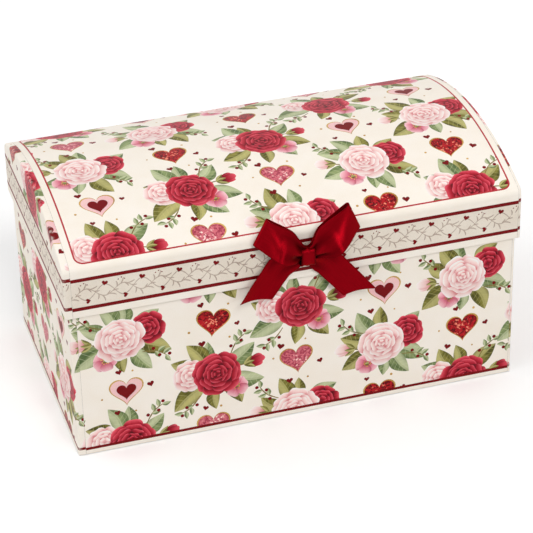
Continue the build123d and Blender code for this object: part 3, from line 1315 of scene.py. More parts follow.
# place along half a wave, length and lean
TWIGS = ((0.14, 3.4, 1.0), (0.34, 4.0, 0.75), (0.55, 3.4, -0.7), (0.7, 4.2, 0.8), (0.9, 3.2, 0.6))
TROUGH_DOTS = ((-1.7, -0.2), (0.0, 0.7), (1.7, -0.4))


@dataclass
class BandScroll:
    """Two interlaced vines along a band, with side twigs, small hearts and dots."""

    reach: float  # half the band's length
    low: float  # the band's lower edge
    high: float  # its upper edge
    period: float = 20.0  # length of one wave
    swings: tuple[float, float] = (0.26, 0.19)  # of the vines, in shares of the band's height
    vine_width: float = 0.6  # width of a vine's strokes
    twig_width: float = 0.75  # width of a twig
    overlap: float = 0.8  # how far one stroke runs into the next
    margin: float = 0.5  # what stays bare at the band's ends

    def __post_init__(self) -> None:
        """Works out the waves that fill the band."""
        self.count = math.ceil(2 * self.reach / self.period)
        self.first = -self.count * self.period / 2
        self.middle, self.height = (self.low + self.high) / 2, self.high - self.low

    def wave(self, strand: int, x: Points | float) -> Points:
        """Heights of a strand, 1 for the plain one and -1 for the other, at places along the band."""
        swing = self.height * self.swings[0 if strand > 0 else 1]
        return self.middle + strand * swing * np.sin(ROUND * (np.asarray(x) - self.first) / self.period)

    def twig(self, root: float, length: float, lean: float) -> Region:
        """A bent twig off the second strand.

        Args:
            root: Where it leaves the strand.
            length: Its length.
            lean: How far it turns aside.

        Returns:
            The twig.
        """
        points, ahead, bend = 6, 0.1, (0.5, 1.0)
        start = self.wave(-1, root)
        way = math.atan2(self.wave(-1, root + ahead) - start, ahead)
        bent = way + lean * np.linspace(*bend, points)
        line = circle(bent) * np.linspace(0, length, points)[:, None]
        return stroke(line + (root, start), self.twig_width, Ink.VINE)

    def vines(self) -> list[Region]:
        """Draws the two vines.

        Returns:
            Their strokes, and the second one's twigs.
        """
        points, half = 12, self.period / 2
        made = []
        for strand in (1, -1):
            for step in range(2 * self.count):
                x = self.first + step * half
                run = np.linspace(x - self.overlap, x + half + self.overlap, points)
                line = np.column_stack([run, self.wave(strand, run)])
                made.append(stroke(line, self.vine_width, Ink.VINE))
                if strand < 0:
                    outward = 1 if step % 2 else -1
                    made += [self.twig(x + at * half, long, lean * outward) for at, long, lean in TWIGS]
        return made

    def marks(self) -> list[Region]:
        """Draws the hearts and dots.

        Returns:
            The hearts on the crests and in the troughs, and the dots.
        """
        crest_heart, crest_rise, crest_turn = 3.0, 0.29, -14
        trough_heart, trough_drop, trough_turn = 2.7, 0.3, 96
        aside, dot_radius, dot_rise = 1.0, 0.36, 0.37
        made = []
        for step in range(self.count):
            crest, trough = (self.first + (step + share) * self.period for share in (0.25, 0.75))
            rise, drop = self.middle + self.height * crest_rise, self.middle - self.height * trough_drop
            made += placed([heart(crest_heart, Ink.RULE)], crest, rise, crest_turn)
            made += placed([heart(trough_heart, Ink.RULE)], trough + aside, drop, trough_turn)
            for x, y in TROUGH_DOTS:
                level = self.middle + self.height * dot_rise + y
                made.append(dot(dot_radius, Ink.RULE, trough - aside + x, level))
        return made

    def regions(self) -> list[Region]:
        """All its patches that lie whole on the band."""
        end = self.reach - self.margin
        return [one for one in self.vines() + self.marks() if np.abs(one.outline[:, 0]).max() < end]


def millimetres(node: str) -> tuple[Points, Points]:
    """Lowest and highest corner of a node of the frame, in millimetres."""
    low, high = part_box(node)
    return np.array(low) / MM, np.array(high) / MM


def level_lines(levels: Sequence[float], reach: float) -> list[Points]:
    """Straight lines across a sheet at heights in the flat."""
    return [np.array([(-reach, level), (reach, level)]) for level in levels]


class Side(Enum):
    """The four upright sides of the box."""

    FRONT = "front"
    BACK = "back"
    LEFT = "left"
    RIGHT = "right"


@dataclass(frozen=True)
class Wall:
    """One upright side of the base, seen from outside."""

    side: Side  # which side
    out: tuple[int, int, int]  # direction that it faces
    right: tuple[int, int, int]  # direction to its right
    reach: float  # from the box's middle to the wall
    half: float  # half its length

    @property
    def wraps(self) -> bool:
        """Whether its sheet turns the corners."""
        return self.side in (Side.LEFT, Side.RIGHT)


UP = np.array([0, 0, 1])
PAST = 1  # how far lines across a sheet run past its edges
BEND_STEPS = 4


@dataclass
class BaseBox:
    """The open base: four printed sheets over greyboard, with a paper lining."""

    corner_radius: float = 1.5
    left_tab: float = 4.0  # from a corner to where the left end's sheet stops
    right_tab: float = 1.7
    sheet_gap: float = 0.1
    glue: float = 0.05
    turn_in: float = 14.0
    turn_under: float = 12.0
    edge_bend: float = 0.7
    rule_low: float = 3.1
    rule_high: float = 4.8
    register: float = 0.7  # how far the end sheets' print sits above the long sheets'
    first_seed: int = 21
    repeat: HalfDrop = field(default_factory=lambda: HalfDrop(step_x=48.0, step_y=67.0))

    def __post_init__(self) -> None:
        """Takes the sizes that the frame holds."""
        low, top = millimetres("base_left_paper")
        lining = millimetres("base_wall_lining")[1]
        self.half_x, self.half_y = -low[0], top[1]
        self.height, self.under = top[2], low[2]
        self.wall = self.half_y - lining[1] - self.glue

    def path(self) -> FoldPath:
        """Bends a wrap sheet.

        Returns:
            Its section, from under the floor up the wall and over the rim.
        """
        bend = (self.edge_bend * QUARTER, QUARTER)
        lengths = (
            self.turn_under - self.edge_bend,
            self.height - self.under - 2 * self.edge_bend,
            self.wall - 2 * self.edge_bend,
            self.turn_in - self.edge_bend,
        )
        runs = [run for length in lengths for run in ((length, 0.0), bend)][:-1]
        zero = self.under + self.edge_bend - (lengths[0] + bend[0])
        return FoldPath((self.turn_under, self.under), math.pi, tuple(runs), zero)

    def walls(self) -> list[Wall]:
        """Lists the base's upright sides.

        Returns:
            The four walls.
        """
        return [
            Wall(Side.FRONT, (0, -1, 0), (1, 0, 0), self.half_y, self.half_x),
            Wall(Side.BACK, (0, 1, 0), (-1, 0, 0), self.half_y, self.half_x),
            Wall(Side.LEFT, (-1, 0, 0), (0, -1, 0), self.half_x, self.half_y),
            Wall(Side.RIGHT, (1, 0, 0), (0, 1, 0), self.half_x, self.half_y),
        ]

    def fold(self, wall: Wall, flat: Points) -> Folded:
        """Folds a sheet's flat points onto its wall.

        Args:
            wall: The side that the sheet covers.
            flat: Points in the flat, across and up.

        Returns:
            Places, normals and rubbing of the points.
        """
        path, radius = self.path(), self.corner_radius
        section, normal = path.at(flat[:, 1])
        straight, sign = wall.half - radius, np.sign(flat[:, 0])
        past = np.clip(np.abs(flat[:, 0]) - straight, 0, None) * wall.wraps
        angle, beyond, corner = round_edge(past, radius)
        across = np.where(past > 0, sign * (straight + radius * np.sin(angle)), flat[:, 0])
        ahead = wall.reach - np.where(past > 0, radius * (1 - np.cos(angle)) + beyond, 0)
        depth = section[:, 0]
        room = wall.half - depth - (0.0 if wall.wraps else self.sheet_gap)
        across = np.clip(across, -room, room)
        ahead = np.minimum(ahead, wall.reach - depth)
        out, right = np.array(wall.out), np.array(wall.right)
        places = across[:, None] * right + ahead[:, None] * out + section[:, 1:] * UP
        facing = np.cos(angle)[:, None] * out + (sign * np.sin(angle))[:, None] * right
        normals = facing * -normal[:, :1] + normal[:, 1:] * UP
        return places, normals, np.maximum(path.rubbed(flat[:, 1]), corner)

    def end_cut(self, wall: Wall, path: FoldPath) -> tuple[Points, list[Points], float]:
        """Cut of an end's sheet, which turns the corners above the floor.

        Args:
            wall: The end.
            path: The sheet's section.

        Returns:
            Its outline, its upright creases and half its length.
        """
        low, foot, high = path.marks[0], path.marks[1], path.marks[-1]
        straight, arc = wall.half - self.corner_radius, self.corner_radius * QUARTER
        tab = self.left_tab if wall.side is Side.LEFT else self.right_tab
        reach = straight + arc + tab - self.corner_radius
        flap = wall.half - self.turn_under - self.sheet_gap
        left = [(-reach, foot), (-flap, foot), (-flap, low)]
        right = [(-x, y) for x, y in left[::-1]]
        outline = np.array([*left, *right, (reach, high), (-reach, high)])
        creases = []
        for step in range(BEND_STEPS + 1):
            x = straight + arc * step / BEND_STEPS
            creases += [np.array([(side * x, foot), (side * x, high)]) for side in (-1, 1)]
        return outline, creases, reach

    def sheet(self, wall: Wall, seed: int) -> PrintedSheet:
        """Lays out one wall's sheet.

        Args:
            wall: The side that the sheet covers.
            seed: Sets its print apart from the other sheets'.

        Returns:
            The sheet.
        """
        path = self.path()
        low, high = path.marks[0], path.marks[-1]
        if wall.wraps:
            outline, creases, reach = self.end_cut(wall, path)
            lift = self.register
        else:
            reach = wall.half - self.right_tab - self.sheet_gap
            far = wall.half - self.left_tab - self.sheet_gap
            left, right = (-far, reach) if wall.side is Side.FRONT else (-reach, far)
            outline, creases, lift = box_of((left, low), (right, high)), [], 0.0
        reach += PAST
        creases += level_lines(path.creases(), reach)
        rule_low, rule_high = self.rule_low + lift, self.rule_high + lift
        panel = box_of((-reach, rule_high), (reach, high + PAST))
        regions = self.repeat.fill(panel[0], panel[2], seed)
        regions.append(strip(rule_low, rule_high, reach, Ink.RULE))
        name = f"base_{wall.side.value}_print"
        return PrintedSheet(name, outline, creases, panel, regions, lambda flat: self.fold(wall, flat))

    def build(self, materials: list[bpy.types.Material]) -> None:
        """Builds the four printed sheets onto the base.

        Args:
            materials: The print's materials, in the order of the inks.
        """
        for seed, wall in enumerate(self.walls(), start=self.first_seed):
            made = self.sheet(wall, seed).build(materials)
            put_on(made, "base", f"base_{wall.side.value}_paper")


@dataclass
class ArchedLid:
    """The arched lid: one long printed sheet from skirt to skirt and two end sheets."""

    shoulder_radius: float = 5.0
    crown: float = 18.3
    edge_radius: float = 1.2
    left_tab: float = 4.0  # from an edge to where the left end's sheet stops
    right_tab: float = 1.7
    shell: float = 1.5
    turn_in: float = 16.0
    foot_bend: float = 0.5
    foot_wear: float = 0.6
    foot_wear_reach: float = 3.0
    rule_top: float = 111.8
    rule_foot: float = 94.4
    rule_width: float = 2.1
    register: float = 1.0  # how far the end sheets' print sits above the long sheet's
    frame_rise: float = 4.6  # from the shoulder's start up to the frame line
    frame_left: float = 7.6  # from the lid's end in to the frame line
    frame_right: float = 5.0
    frame_width: float = 0.9
    frame_radius: float = 5.0
    long_seed: int = 5
    left_seed: int = 31
    right_seed: int = 32
    repeat: HalfDrop = field(default_factory=HalfDrop)

    def __post_init__(self) -> None:
        """Takes the sizes that the frame holds and works out the arch."""
        low, high = millimetres("lid_wrap_paper")
        self.half_y, self.crest, self.foot = high[1], high[2], low[2]
        self.sheet_half = high[0]
        self.half_x = millimetres("lid_right_paper")[1][0]
        self.shoulder_z = self.crest - self.crown
        self.shoulder_y = self.half_y - self.shoulder_radius
        rise, bend = self.crown, self.shoulder_radius
        self.arch_radius = (self.shoulder_y**2 + rise**2 - bend**2) / (2 * (rise - bend))
        self.arch_z = self.crest - self.arch_radius
        self.arch_angle = math.atan2(self.shoulder_z - self.arch_z, self.shoulder_y)
        self.skirt = self.foot + self.foot_bend  # where the skirt's straight part starts

    def turned_in(self) -> tuple[Run, ...]:
        """Runs of a turn-in, from inside the skirt to its foot's outer bend."""
        bend = (self.foot_bend * QUARTER, QUARTER)
        return ((self.turn_in - self.foot_bend, 0.0), bend, (self.shell - 2 * self.foot_bend, 0.0), bend)

    def path(self) -> FoldPath:
        """Bends the long sheet.

        Returns:
            Its section, from inside the front skirt over the arch to inside the back one.
        """
        band = (self.shoulder_z - self.foot - self.foot_bend, 0.0)
        shoulder = (self.shoulder_radius * self.arch_angle, self.arch_angle)
        arch = (2 * self.arch_radius * (QUARTER - self.arch_angle), math.pi - 2 * self.arch_angle)
        half = (*self.turned_in(), band, shoulder)
        before = sum(length for length, _ in self.turned_in())
        start = (-self.half_y + self.shell, self.foot + self.turn_in)
        return FoldPath(start, -QUARTER, (*half, arch, *half[::-1]), self.skirt - before)

    def end_foot(self) -> FoldPath:
        """Section of an end sheet's turn-in, walked down the skirt, under its foot and up inside."""
        runs = ((RUBBED, 0.0), *self.turned_in()[::-1])
        return FoldPath((0.0, self.skirt + RUBBED), -QUARTER, runs, -RUBBED)

    def fold_long(self, flat: Points) -> Folded:
        """Folds the long sheet's flat points over the arch.

        Args:
            flat: Points in the flat, across and up.

        Returns:
            Places, normals and rubbing of the points.
        """
        path = self.path()
        section, normal = path.at(flat[:, 1])
        normals = np.column_stack([np.zeros(len(flat)), normal])
        return np.column_stack([flat[:, 0], section]), normals, path.rubbed(flat[:, 1])

    def long_sheet(self) -> PrintedSheet:
        """Lays out the long sheet: two bands and the framed panel between them.

        Returns:
            The sheet.
        """
        marks = self.path().marks
        low, high = marks[0], marks[-1]
        whole = low + high
        right = self.sheet_half + self.left_tab - self.right_tab
        reach = right + PAST
        band = self.bands(reach, 0.0)
        regions = band + placed(band, 0, whole, 180)
        corner = np.array([-self.half_x + self.frame_left, self.shoulder_z + self.frame_rise])
        across = np.array([self.half_x - self.frame_right, whole - corner[1]])
        line, radius = self.frame_width, self.frame_radius
        panel = rounded_box(corner + line, across - line, radius - line)
        regions.append(Region(rounded_box(corner, across, radius), Ink.FRAME))
        regions.append(Region(panel, Ink.GROUND))
        regions += self.repeat.fill(corner, across, self.long_seed)
        outline = box_of((-self.sheet_half, low), (right, high))
        creases = level_lines(self.path().creases(), reach)
        return PrintedSheet("lid_wrap_print", outline, creases, panel, regions, self.fold_long)

    def bands(self, reach: float, lift: float) -> list[Region]:
        """Prints the band of one side.

        Args:
            reach: Half its length.
            lift: How far it sits above the front's.

        Returns:
            Its ground, the vines on it and its two rules.
        """
        half = self.rule_width / 2
        low, high = self.rule_foot + lift, self.rule_top + lift
        made = [strip(low, high, reach, Ink.BAND)]
        made += BandScroll(reach, low + half, high - half).regions()
        made += [strip(level - half, level + half, reach, Ink.RULE) for level in (low, high)]
        return made

    def edge(self, out: float, bottom: float) -> Points:
        """Draws an end's arched outline.

        Args:
            out: How far it is moved out.
            bottom: Where it starts and ends.

        Returns:
            Points from one side's bottom to the other's.
        """
        shoulder_points, arch_points = 12, 22
        turn = np.linspace(0, self.arch_angle, shoulder_points)
        middle = np.array([self.shoulder_y, self.shoulder_z])
        shoulder = middle + (self.shoulder_radius + out) * circle(turn)
        turn = np.linspace(self.arch_angle, QUARTER, arch_points)
        arch = np.array([0, self.arch_z]) + (self.arch_radius + out) * circle(turn)
        half = np.concatenate([[(self.half_y + out, bottom)], shoulder, arch[1:]])
        return np.concatenate([half, (half * np.array([-1, 1]))[-2::-1]])

    def outwards(self, y: Points, z: Points) -> tuple[Points, Points]:
        """How points of an end lie to its arched outline.

        Args:
            y: Their places from front to back.
            z: Their heights.

        Returns:
            Distances outside the outline, and the directions straight out of it.
        """
        nearest = 1e-6
        from_shoulder = np.column_stack([np.abs(y) - self.shoulder_y, z - self.shoulder_z])
        from_arch = np.column_stack([np.abs(y), z - self.arch_z])
        on_shoulder = np.arctan2(from_shoulder[:, 1], from_shoulder[:, 0]) <= self.arch_angle
        on_band = z <= self.shoulder_z
        away = np.where(on_shoulder[:, None], from_shoulder, from_arch)
        reach = np.linalg.norm(away, axis=1)
        away = away / np.maximum(reach, nearest)[:, None]
        out = reach - np.where(on_shoulder, self.shoulder_radius, self.arch_radius)
        away[on_band] = (1, 0)
        out[on_band] = np.abs(y[on_band]) - self.half_y
        away[:, 0] *= np.where(y < 0, -1, 1)
        return out, away

    def fold_end(self, side: int, flat: Points) -> Folded:
        """Folds an end sheet's flat points: its face, its rim round the edge and its turn-in.

        Args:
            side: -1 for the left end and 1 for the right one.
            flat: Points in the flat, across and up, seen from outside.

        Returns:
            Places, normals and rubbing of the points.
        """
        radius, level = self.edge_radius, flat[:, 1]
        y, z = flat[:, 0] * side, np.maximum(level, self.skirt)
        out, away = self.outwards(y, z)
        past = np.clip(out + radius, 0, None)
        angle, beyond, edge = round_edge(past, radius)
        inner = np.column_stack([y, z]) - past[:, None] * away
        section = inner + (radius * np.sin(angle))[:, None] * away
        x = self.half_x - radius * (1 - np.cos(angle)) - beyond
        under, tilt = self.end_foot().at(np.clip(self.skirt - level, 0, None))
        depth = -under[:, 0]
        turned = level < self.skirt
        room = self.half_y - depth
        across = np.where(turned, np.clip(section[:, 0], -room, room), section[:, 0])
        x = np.where(turned, np.minimum(x, self.half_x - depth), x)
        places = np.column_stack([side * x, across, np.where(turned, under[:, 1], section[:, 1])])
        facing = np.column_stack([side * np.cos(angle), np.sin(angle)[:, None] * away])
        normals = facing * np.where(turned, tilt[:, 0], 1.0)[:, None]
        normals[:, 2] += np.where(turned, tilt[:, 1], 0.0)
        near_foot = turned & (level > self.foot - self.foot_wear_reach)
        return places, normals, np.maximum(edge, np.where(near_foot, self.foot_wear, 0))

    def end_sheet(self, side: int, name: str, seed: int) -> PrintedSheet:
        """Lays out an end sheet: the band across it and the print above.

        Args:
            side: -1 for the left end and 1 for the right one.
            name: The piece's name.
            seed: Sets its print apart from the other sheets'.

        Returns:
            The sheet.
        """
        foot, radius = self.end_foot(), self.edge_radius
        tab = self.left_tab if side < 0 else self.right_tab
        bottom = self.skirt - foot.marks[-1]
        rim = radius * QUARTER - radius
        outline = self.edge(rim + tab - radius, bottom)
        bends = [-radius + radius * QUARTER * step / BEND_STEPS for step in range(BEND_STEPS + 1)]
        creases = [self.edge(out, bottom) for out in (*bends, -radius - RUBBED, rim + RUBBED)]
        reach = self.half_y + self.left_tab
        creases += level_lines([self.skirt - mark for mark in foot.creases()], reach)
        low = np.array([-reach, self.rule_top + self.register + self.rule_width / 2])
        high = np.array([reach, self.crest + self.left_tab])
        regions = self.bands(reach, self.register) + self.repeat.fill(low, high, seed)
        panel = box_of(low, high)
        return PrintedSheet(name, outline, creases, panel, regions, lambda flat: self.fold_end(side, flat))

    def build(self, materials: list[bpy.types.Material]) -> None:
        """Builds the long sheet and the two end sheets onto the lid.

        Args:
            materials: The print's materials, in the order of the inks.
        """
        sheets = {
            "lid_wrap_paper": self.long_sheet(),
            "lid_left_paper": self.end_sheet(-1, "lid_left_print", self.left_seed),
            "lid_right_paper": self.end_sheet(1, "lid_right_print", self.right_seed),
        }
        for node, sheet in sheets.items():
            put_on(sheet.build(materials), "lid", node)


class Held(Enum):
    """How a strip of ribbon is held."""

    FOLDED = "folded"
    GATHERED = "gathered"


@dataclass(frozen=True)
class Loop:
    """One loop of the bow."""

    degrees: float  # its angle above the horizontal, to the right
    reach: float  # from the knot's middle to its end
    slant: float  # how much further one corner of its end reaches
    phase: float  # where its gathers start


@dataclass(frozen=True)
class Tail:
    """One tail of the bow."""

    degrees: float  # its angle above the horizontal, to the right
    long: float  # length of its long, outer edge, from the knot's middle
    short: float  # length of its inner edge
    swerve: float  # how far its middle line swings outwards
    lift: float  # stand-off of its end


LOOPS = {
    "bow_left_loop": Loop(144.0, 31.0, -1.2, 0.4),
    "bow_right_loop": Loop(35.0, 33.0, 1.8, 0.9),
}
TAILS = {
    "bow_left_tail": Tail(-133.0, 41.5, 30.5, 6.0, 3.2),
    "bow_right_tail": Tail(-50.0, 44.5, 35.5, 4.4, 3.0),
}
Shaped = tuple[Points, Points]  # a ribbon's grid of places, and the painted shade at each


@dataclass
class SatinBow:
    """The bow on the lid's band: a knot, two loops and two tails of one width of satin ribbon."""

    width: float = 16.0
    thickness: float = 0.3
    bow_x: float = 3.5
    bow_z: float = 105.0
    root_at: float = 1.5  # from the knot's middle to where loops and tails start
    stand: float = 4.2  # of the ribbon's gathered middle, off the band
    gather: float = 8.6  # width where the knot gathers the ribbon
    gather_depth: float = 1.7
    gather_start: float = 3.5
    pleats: float = 1.9
    loop_end: float = 1.7
    loop_root: float = 0.5
    loop_belly: float = 2.1
    loop_gape: float = 0.72  # how much wider a loop opens along its lower edge than in the middle
    loop_clear: float = 1.0
    loop_crown: float = 1.3
    loop_flare: float = 15.0  # from the knot's middle to where a loop lies open
    tail_stand: float = 2.0
    tail_dip: float = 1.1
    tail_roll: float = 2.2
    tail_ripple: float = 0.55
    tail_sway: float = 0.9
    tail_taper: float = 0.06
    tail_flare: float = 13.0
    tail_flat: float = 15.0  # from the knot's middle to where a tail has come down to the band
    tail_phase: float = 0.6
    tail_pleat: float = 0.4
    knot: tuple[float, float, float] = (8.3, 10.0, 7.2)
    rows: int = 72
    columns: int = 28

    def __post_init__(self) -> None:
        """Takes the band's place from the frame."""
        self.band_y = millimetres("lid_wrap_paper")[0][1]

    def strip(
        self, name: str, shape: Shaped, cut: float, material: bpy.types.Material, closed: bool = False
    ) -> bpy.types.Object:
        """Makes a ribbon from a grid of places.

        Args:
            name: The piece's name.
            shape: Places in millimetres, by row along the ribbon and column across it, and the painted
                shade at each.
            cut: Length of ribbon that it is cut from.
            material: The satin.
            closed: Whether the last row joins the first.

        Returns:
            The ribbon, with its thickness.
        """
        places, gathered = shape
        rows, columns, _ = places.shape
        faces, runs = [], []
        for row in range(rows if closed else rows - 1):
            ahead = (row + 1) % rows
            for column in range(columns - 1):
                here, there = row * columns + column, ahead * columns + column
                faces.append((here, there, there + 1, here + 1))
                runs += [(column, row), (column, row + 1), (column + 1, row + 1), (column + 1, row)]
        mesh = bpy.data.meshes.new(name)
        mesh.from_pydata((places.reshape(-1, 3) * MM).tolist(), [], faces)
        mesh.materials.append(material)
        along, across = np.linspace(0, cut * MM, rows), np.linspace(-1, 1, columns)
        along, across = np.meshgrid(along, across, indexing="ij")
        # the third part is the painted shade, which the satin's colour follows
        weave = np.stack([across, along, gathered], axis=2).astype(np.float32)
        ribbon = mesh.attributes.new("ribbon", "FLOAT_VECTOR", "POINT")
        ribbon.data.foreach_set("vector", weave.ravel())
        run = (np.array(runs, np.float32) / (columns - 1, rows)).astype(np.float32)
        mesh.uv_layers.new(name=RIBBON_RUN).data.foreach_set("uv", run.ravel())
        mesh.polygons.foreach_set("use_smooth", np.ones(len(faces), bool))
        made = new_object(name, mesh)
        thick = made.modifiers.new("thickness", "SOLIDIFY")
        thick.thickness, thick.offset = self.thickness * MM, 0.0
        return made

    def off_band(self, degrees: float, along: Points, across: Points, stand: Points) -> Points:
        """Places on the band, along a ribbon that leaves the knot at an angle.

        Args:
            degrees: The ribbon's angle above the horizontal, to the right.
            along: Distances from the knot's middle along it.
            across: Distances to its left.
            stand: Distances off the band.

        Returns:
            Places in millimetres.
        """
        way = math.radians(degrees)
        x = self.bow_x + along * math.cos(way) - across * math.sin(way)
        z = self.bow_z + along * math.sin(way) + across * math.cos(way)
        return np.stack([x, self.band_y - stand, z], axis=-1)

    def spread(self, along: Points, flare: float) -> tuple[Points, Points]:
        """Width and depth of the gathers at a distance from the knot.

        Args:
            along: Distances from the knot's middle.
            flare: Distance at which the ribbon lies flat.

        Returns:
            Half widths and half depths of the gathers.
        """
        hidden, deepest, relax = 2.0, 5.0, 0.8
        start = self.gather_start
        opened = eased(np.clip((along - start) / (flare - start), 0, 1))
        half = (self.gather + (self.width - self.gather) * opened) / 2
        near = np.clip((along - hidden) / deepest, 0, 1)
        return half, self.gather_depth * near * (1 - opened**relax)

    def gathered(self, along: Points, wave: Points) -> Points:
        """Painted shade in the gathers: how deep in them a place lies, from about 1 in a pleat at the knot
        to 0 in the open.
        """
        start, fade, power, level, swing = 3.0, 19.0, 1.15, 0.55, 0.45
        return (level - swing * wave) * np.clip(1 - (along - start) / fade, 0, 1) ** power

    def loop(self, shape: Loop) -> Shaped:
        """Places of a loop, out along its front, round its folded end and back behind.

        Args:
            shape: The loop.

        Returns:
            The grid of places, and the painted shade in their gathers.
        """
        round_at, clear_by, upright = 0.85, 1.6, 90
        end, root = self.loop_end, self.loop_root
        run, arc = shape.reach - end - self.root_at, math.pi * end
        whole = 2 * run + arc
        v = np.linspace(-1, 1, self.columns)
        walked = np.linspace(0, whole, self.rows)[:, None]
        angle = np.clip((walked - run) / end, 0, math.pi)
        out = np.where(walked < run, walked, np.where(walked > run + arc, whole - walked, run))
        along = self.root_at + out + end * np.sin(angle)
        share = np.clip(out / run, 0, 1)
        bulge = np.sin(math.pi * share**round_at)
        puff = root + (end - root) * share + self.loop_belly * bulge
        back = self.stand - root + (self.loop_clear - self.stand + root) * np.minimum(share * clear_by, 1)
        layer = (1 + np.cos(angle)) / 2
        below = -v if shape.degrees < upright else v
        half, depth = self.spread(along, self.loop_flare)
        wave = np.cos(math.pi * self.pleats * v + shape.phase)
        opened = 1 + self.loop_gape * bulge * below
        curve = self.loop_crown * bulge * (1 - v**2) * layer
        stand = back + 2 * (puff * layer) * opened + depth * wave + curve
        slanted = along + shape.slant * share**2 * v
        return self.off_band(shape.degrees, slanted, half * v, stand), self.gathered(along, wave)

    def tail(self, shape: Tail) -> Shaped:
        """Places of a tail, out of the knot behind the loops, to its slanting cut.

        Args:
            shape: The tail.

        Returns:
            The grid of places, and the painted shade in their gathers.
        """
        steep, ripples, skew, downright = 1.7, 7.0, 1.2, -90
        long, short, flat_at = shape.long, shape.short, self.tail_flat
        outer = 1 if shape.degrees > downright else -1
        turn = np.linspace(0, 1, self.rows)[:, None]
        v = np.linspace(-1, 1, self.columns)[None, :]
        reach = (long + short) / 2 + outer * v * (long - short) / 2
        along = self.root_at + turn * (reach - self.root_at)
        half, depth = self.spread(along, self.tail_flare)
        wave = np.cos(math.pi * self.pleats * v + self.tail_phase)
        pleats = depth * (1 + wave) * self.tail_pleat
        dip = np.clip(along / flat_at, 0, 1)
        rise = np.clip((along - flat_at) / (long - flat_at), 0, 1)
        stand = self.tail_stand + (self.tail_dip - self.tail_stand) * dip**2 + shape.lift * rise**steep
        roll = self.tail_roll * rise * v**2
        sway = np.sin(rise * math.pi) * (0.5 + 0.5 * v * outer) * self.tail_sway
        sway = sway + self.tail_ripple * rise * (1 + np.sin(rise * ripples + v * outer * skew))
        across = half * v * (1 - self.tail_taper * rise) + outer * shape.swerve * eased(dip)
        places = self.off_band(shape.degrees, along, across, stand + pleats + roll + sway)
        return places, self.gathered(along, wave)

    def knot_strip(self) -> tuple[Shaped, float]:
        """Shapes the knot's strip, round the bow's middle with its edges tucked under.

        Returns:
            The grid of places, the painted shade on its tucked edges, and the strip's length.
        """
        round_points, across_points, square, bend = 64, 33, 0.55, 0.35
        pinched, crease_depth, creases, crease_shift = 0.07, 0.22, 2.2, 0.5
        shade, shade_edge, front, rest, fade = 0.7, 6, 0.4, 0.6, 3
        wide, high, deep = self.knot
        turn = all_round(round_points)
        up, out = (np.sign(part) * np.abs(part) ** square for part in (np.sin(turn), np.cos(turn)))
        ring = np.column_stack([out * deep / 2, up * high / 2])
        ahead = np.roll(ring, -1, axis=0)
        way = ahead - np.roll(ring, 1, axis=0)
        normal = np.column_stack([way[:, 1], -way[:, 0]]) / np.linalg.norm(way, axis=1)[:, None]
        length = float(np.linalg.norm(ahead - ring, axis=1).sum())
        face = wide / 2 - bend
        v = np.linspace(-1, 1, across_points) * self.width / 2
        past = np.clip(np.abs(v) - face, 0, bend * math.pi)
        tucked = np.clip(np.abs(v) - face - bend * math.pi, 0, None)
        x = np.sign(v) * (np.minimum(np.abs(v), face) + bend * np.sin(past / bend) - tucked)
        inward = bend * (1 - np.cos(past / bend))
        pinch = 1 - pinched * np.abs(np.cos(turn)) ** 3
        crease = crease_depth * np.cos(x / wide * ROUND * creases + crease_shift)
        crease = crease * np.clip(1 - inward * fade, 0, 1)
        depth = -inward[None, :] + crease[None, :] * (front + rest * np.abs(np.sin(turn)))[:, None]
        stand = self.stand + ring[:, 0, None] + normal[:, 0, None] * depth
        z = self.bow_z + ring[:, 1, None] + normal[:, 1, None] * depth
        across = self.bow_x + x[None, :] * pinch[:, None]
        places = np.stack([across, self.band_y - stand, z], axis=-1)
        # painted shade: the knot's face darkens towards its edges, where they turn under
        sides = np.broadcast_to(shade * np.clip(np.abs(v) / face, 0, 1) ** shade_edge, places.shape[:2])
        return (places, sides), length

    def build(self, material: bpy.types.Material) -> None:
        """Builds the five strips of ribbon onto the lid.

        Args:
            material: The satin.
        """
        for node, loop in LOOPS.items():
            cut = 2 * (loop.reach - self.loop_end) + math.pi * self.loop_end
            made = self.strip(f"{node}_satin", self.loop(loop), cut, material)
            self.dress(made, node)
        for node, tail in TAILS.items():
            made = self.strip(f"{node}_satin", self.tail(tail), tail.long, material)
            self.dress(made, node)
        shape, length = self.knot_strip()
        made = self.strip("bow_knot_satin", shape, length, material, closed=True)
        self.dress(made, "bow_knot")

    def dress(
        self, made: bpy.types.Object, node: str
    ) -> None:
        """Puts a strip on the lid in place of its node.

        Args:
            made: The strip.
            node: The node that it stands for.
        """
        put_on(made, "lid", node)


def direction(azimuth: float, elevation: float) -> Vector:
    """Direction from the object to a place round it, 0 in front and 90 on the right, and above it."""
    around, up = math.radians(azimuth), math.radians(elevation)
    return Vector((math.sin(around) * math.cos(up), -math.cos(around) * math.cos(up), math.sin(up)))


@dataclass(frozen=True)
class Lamp:
    """A soft sun lamp."""

    name: str
    strength: float
    spread: float  # angle that it spans, in degrees
    azimuth: float  # where it stands round the object
    elevation: float  # how high it stands, in degrees

    def build(self) -> None:
        """Makes the lamp."""
        lamp = bpy.data.lights.new(self.name, "SUN")
        lamp.energy, lamp.angle = self.strength, math.radians(self.spread)
        made = new_object(self.name, lamp)
        made.rotation_mode = "QUATERNION"
        made.rotation_quaternion = direction(self.azimuth, self.elevation).to_track_quat("Z", "Y")


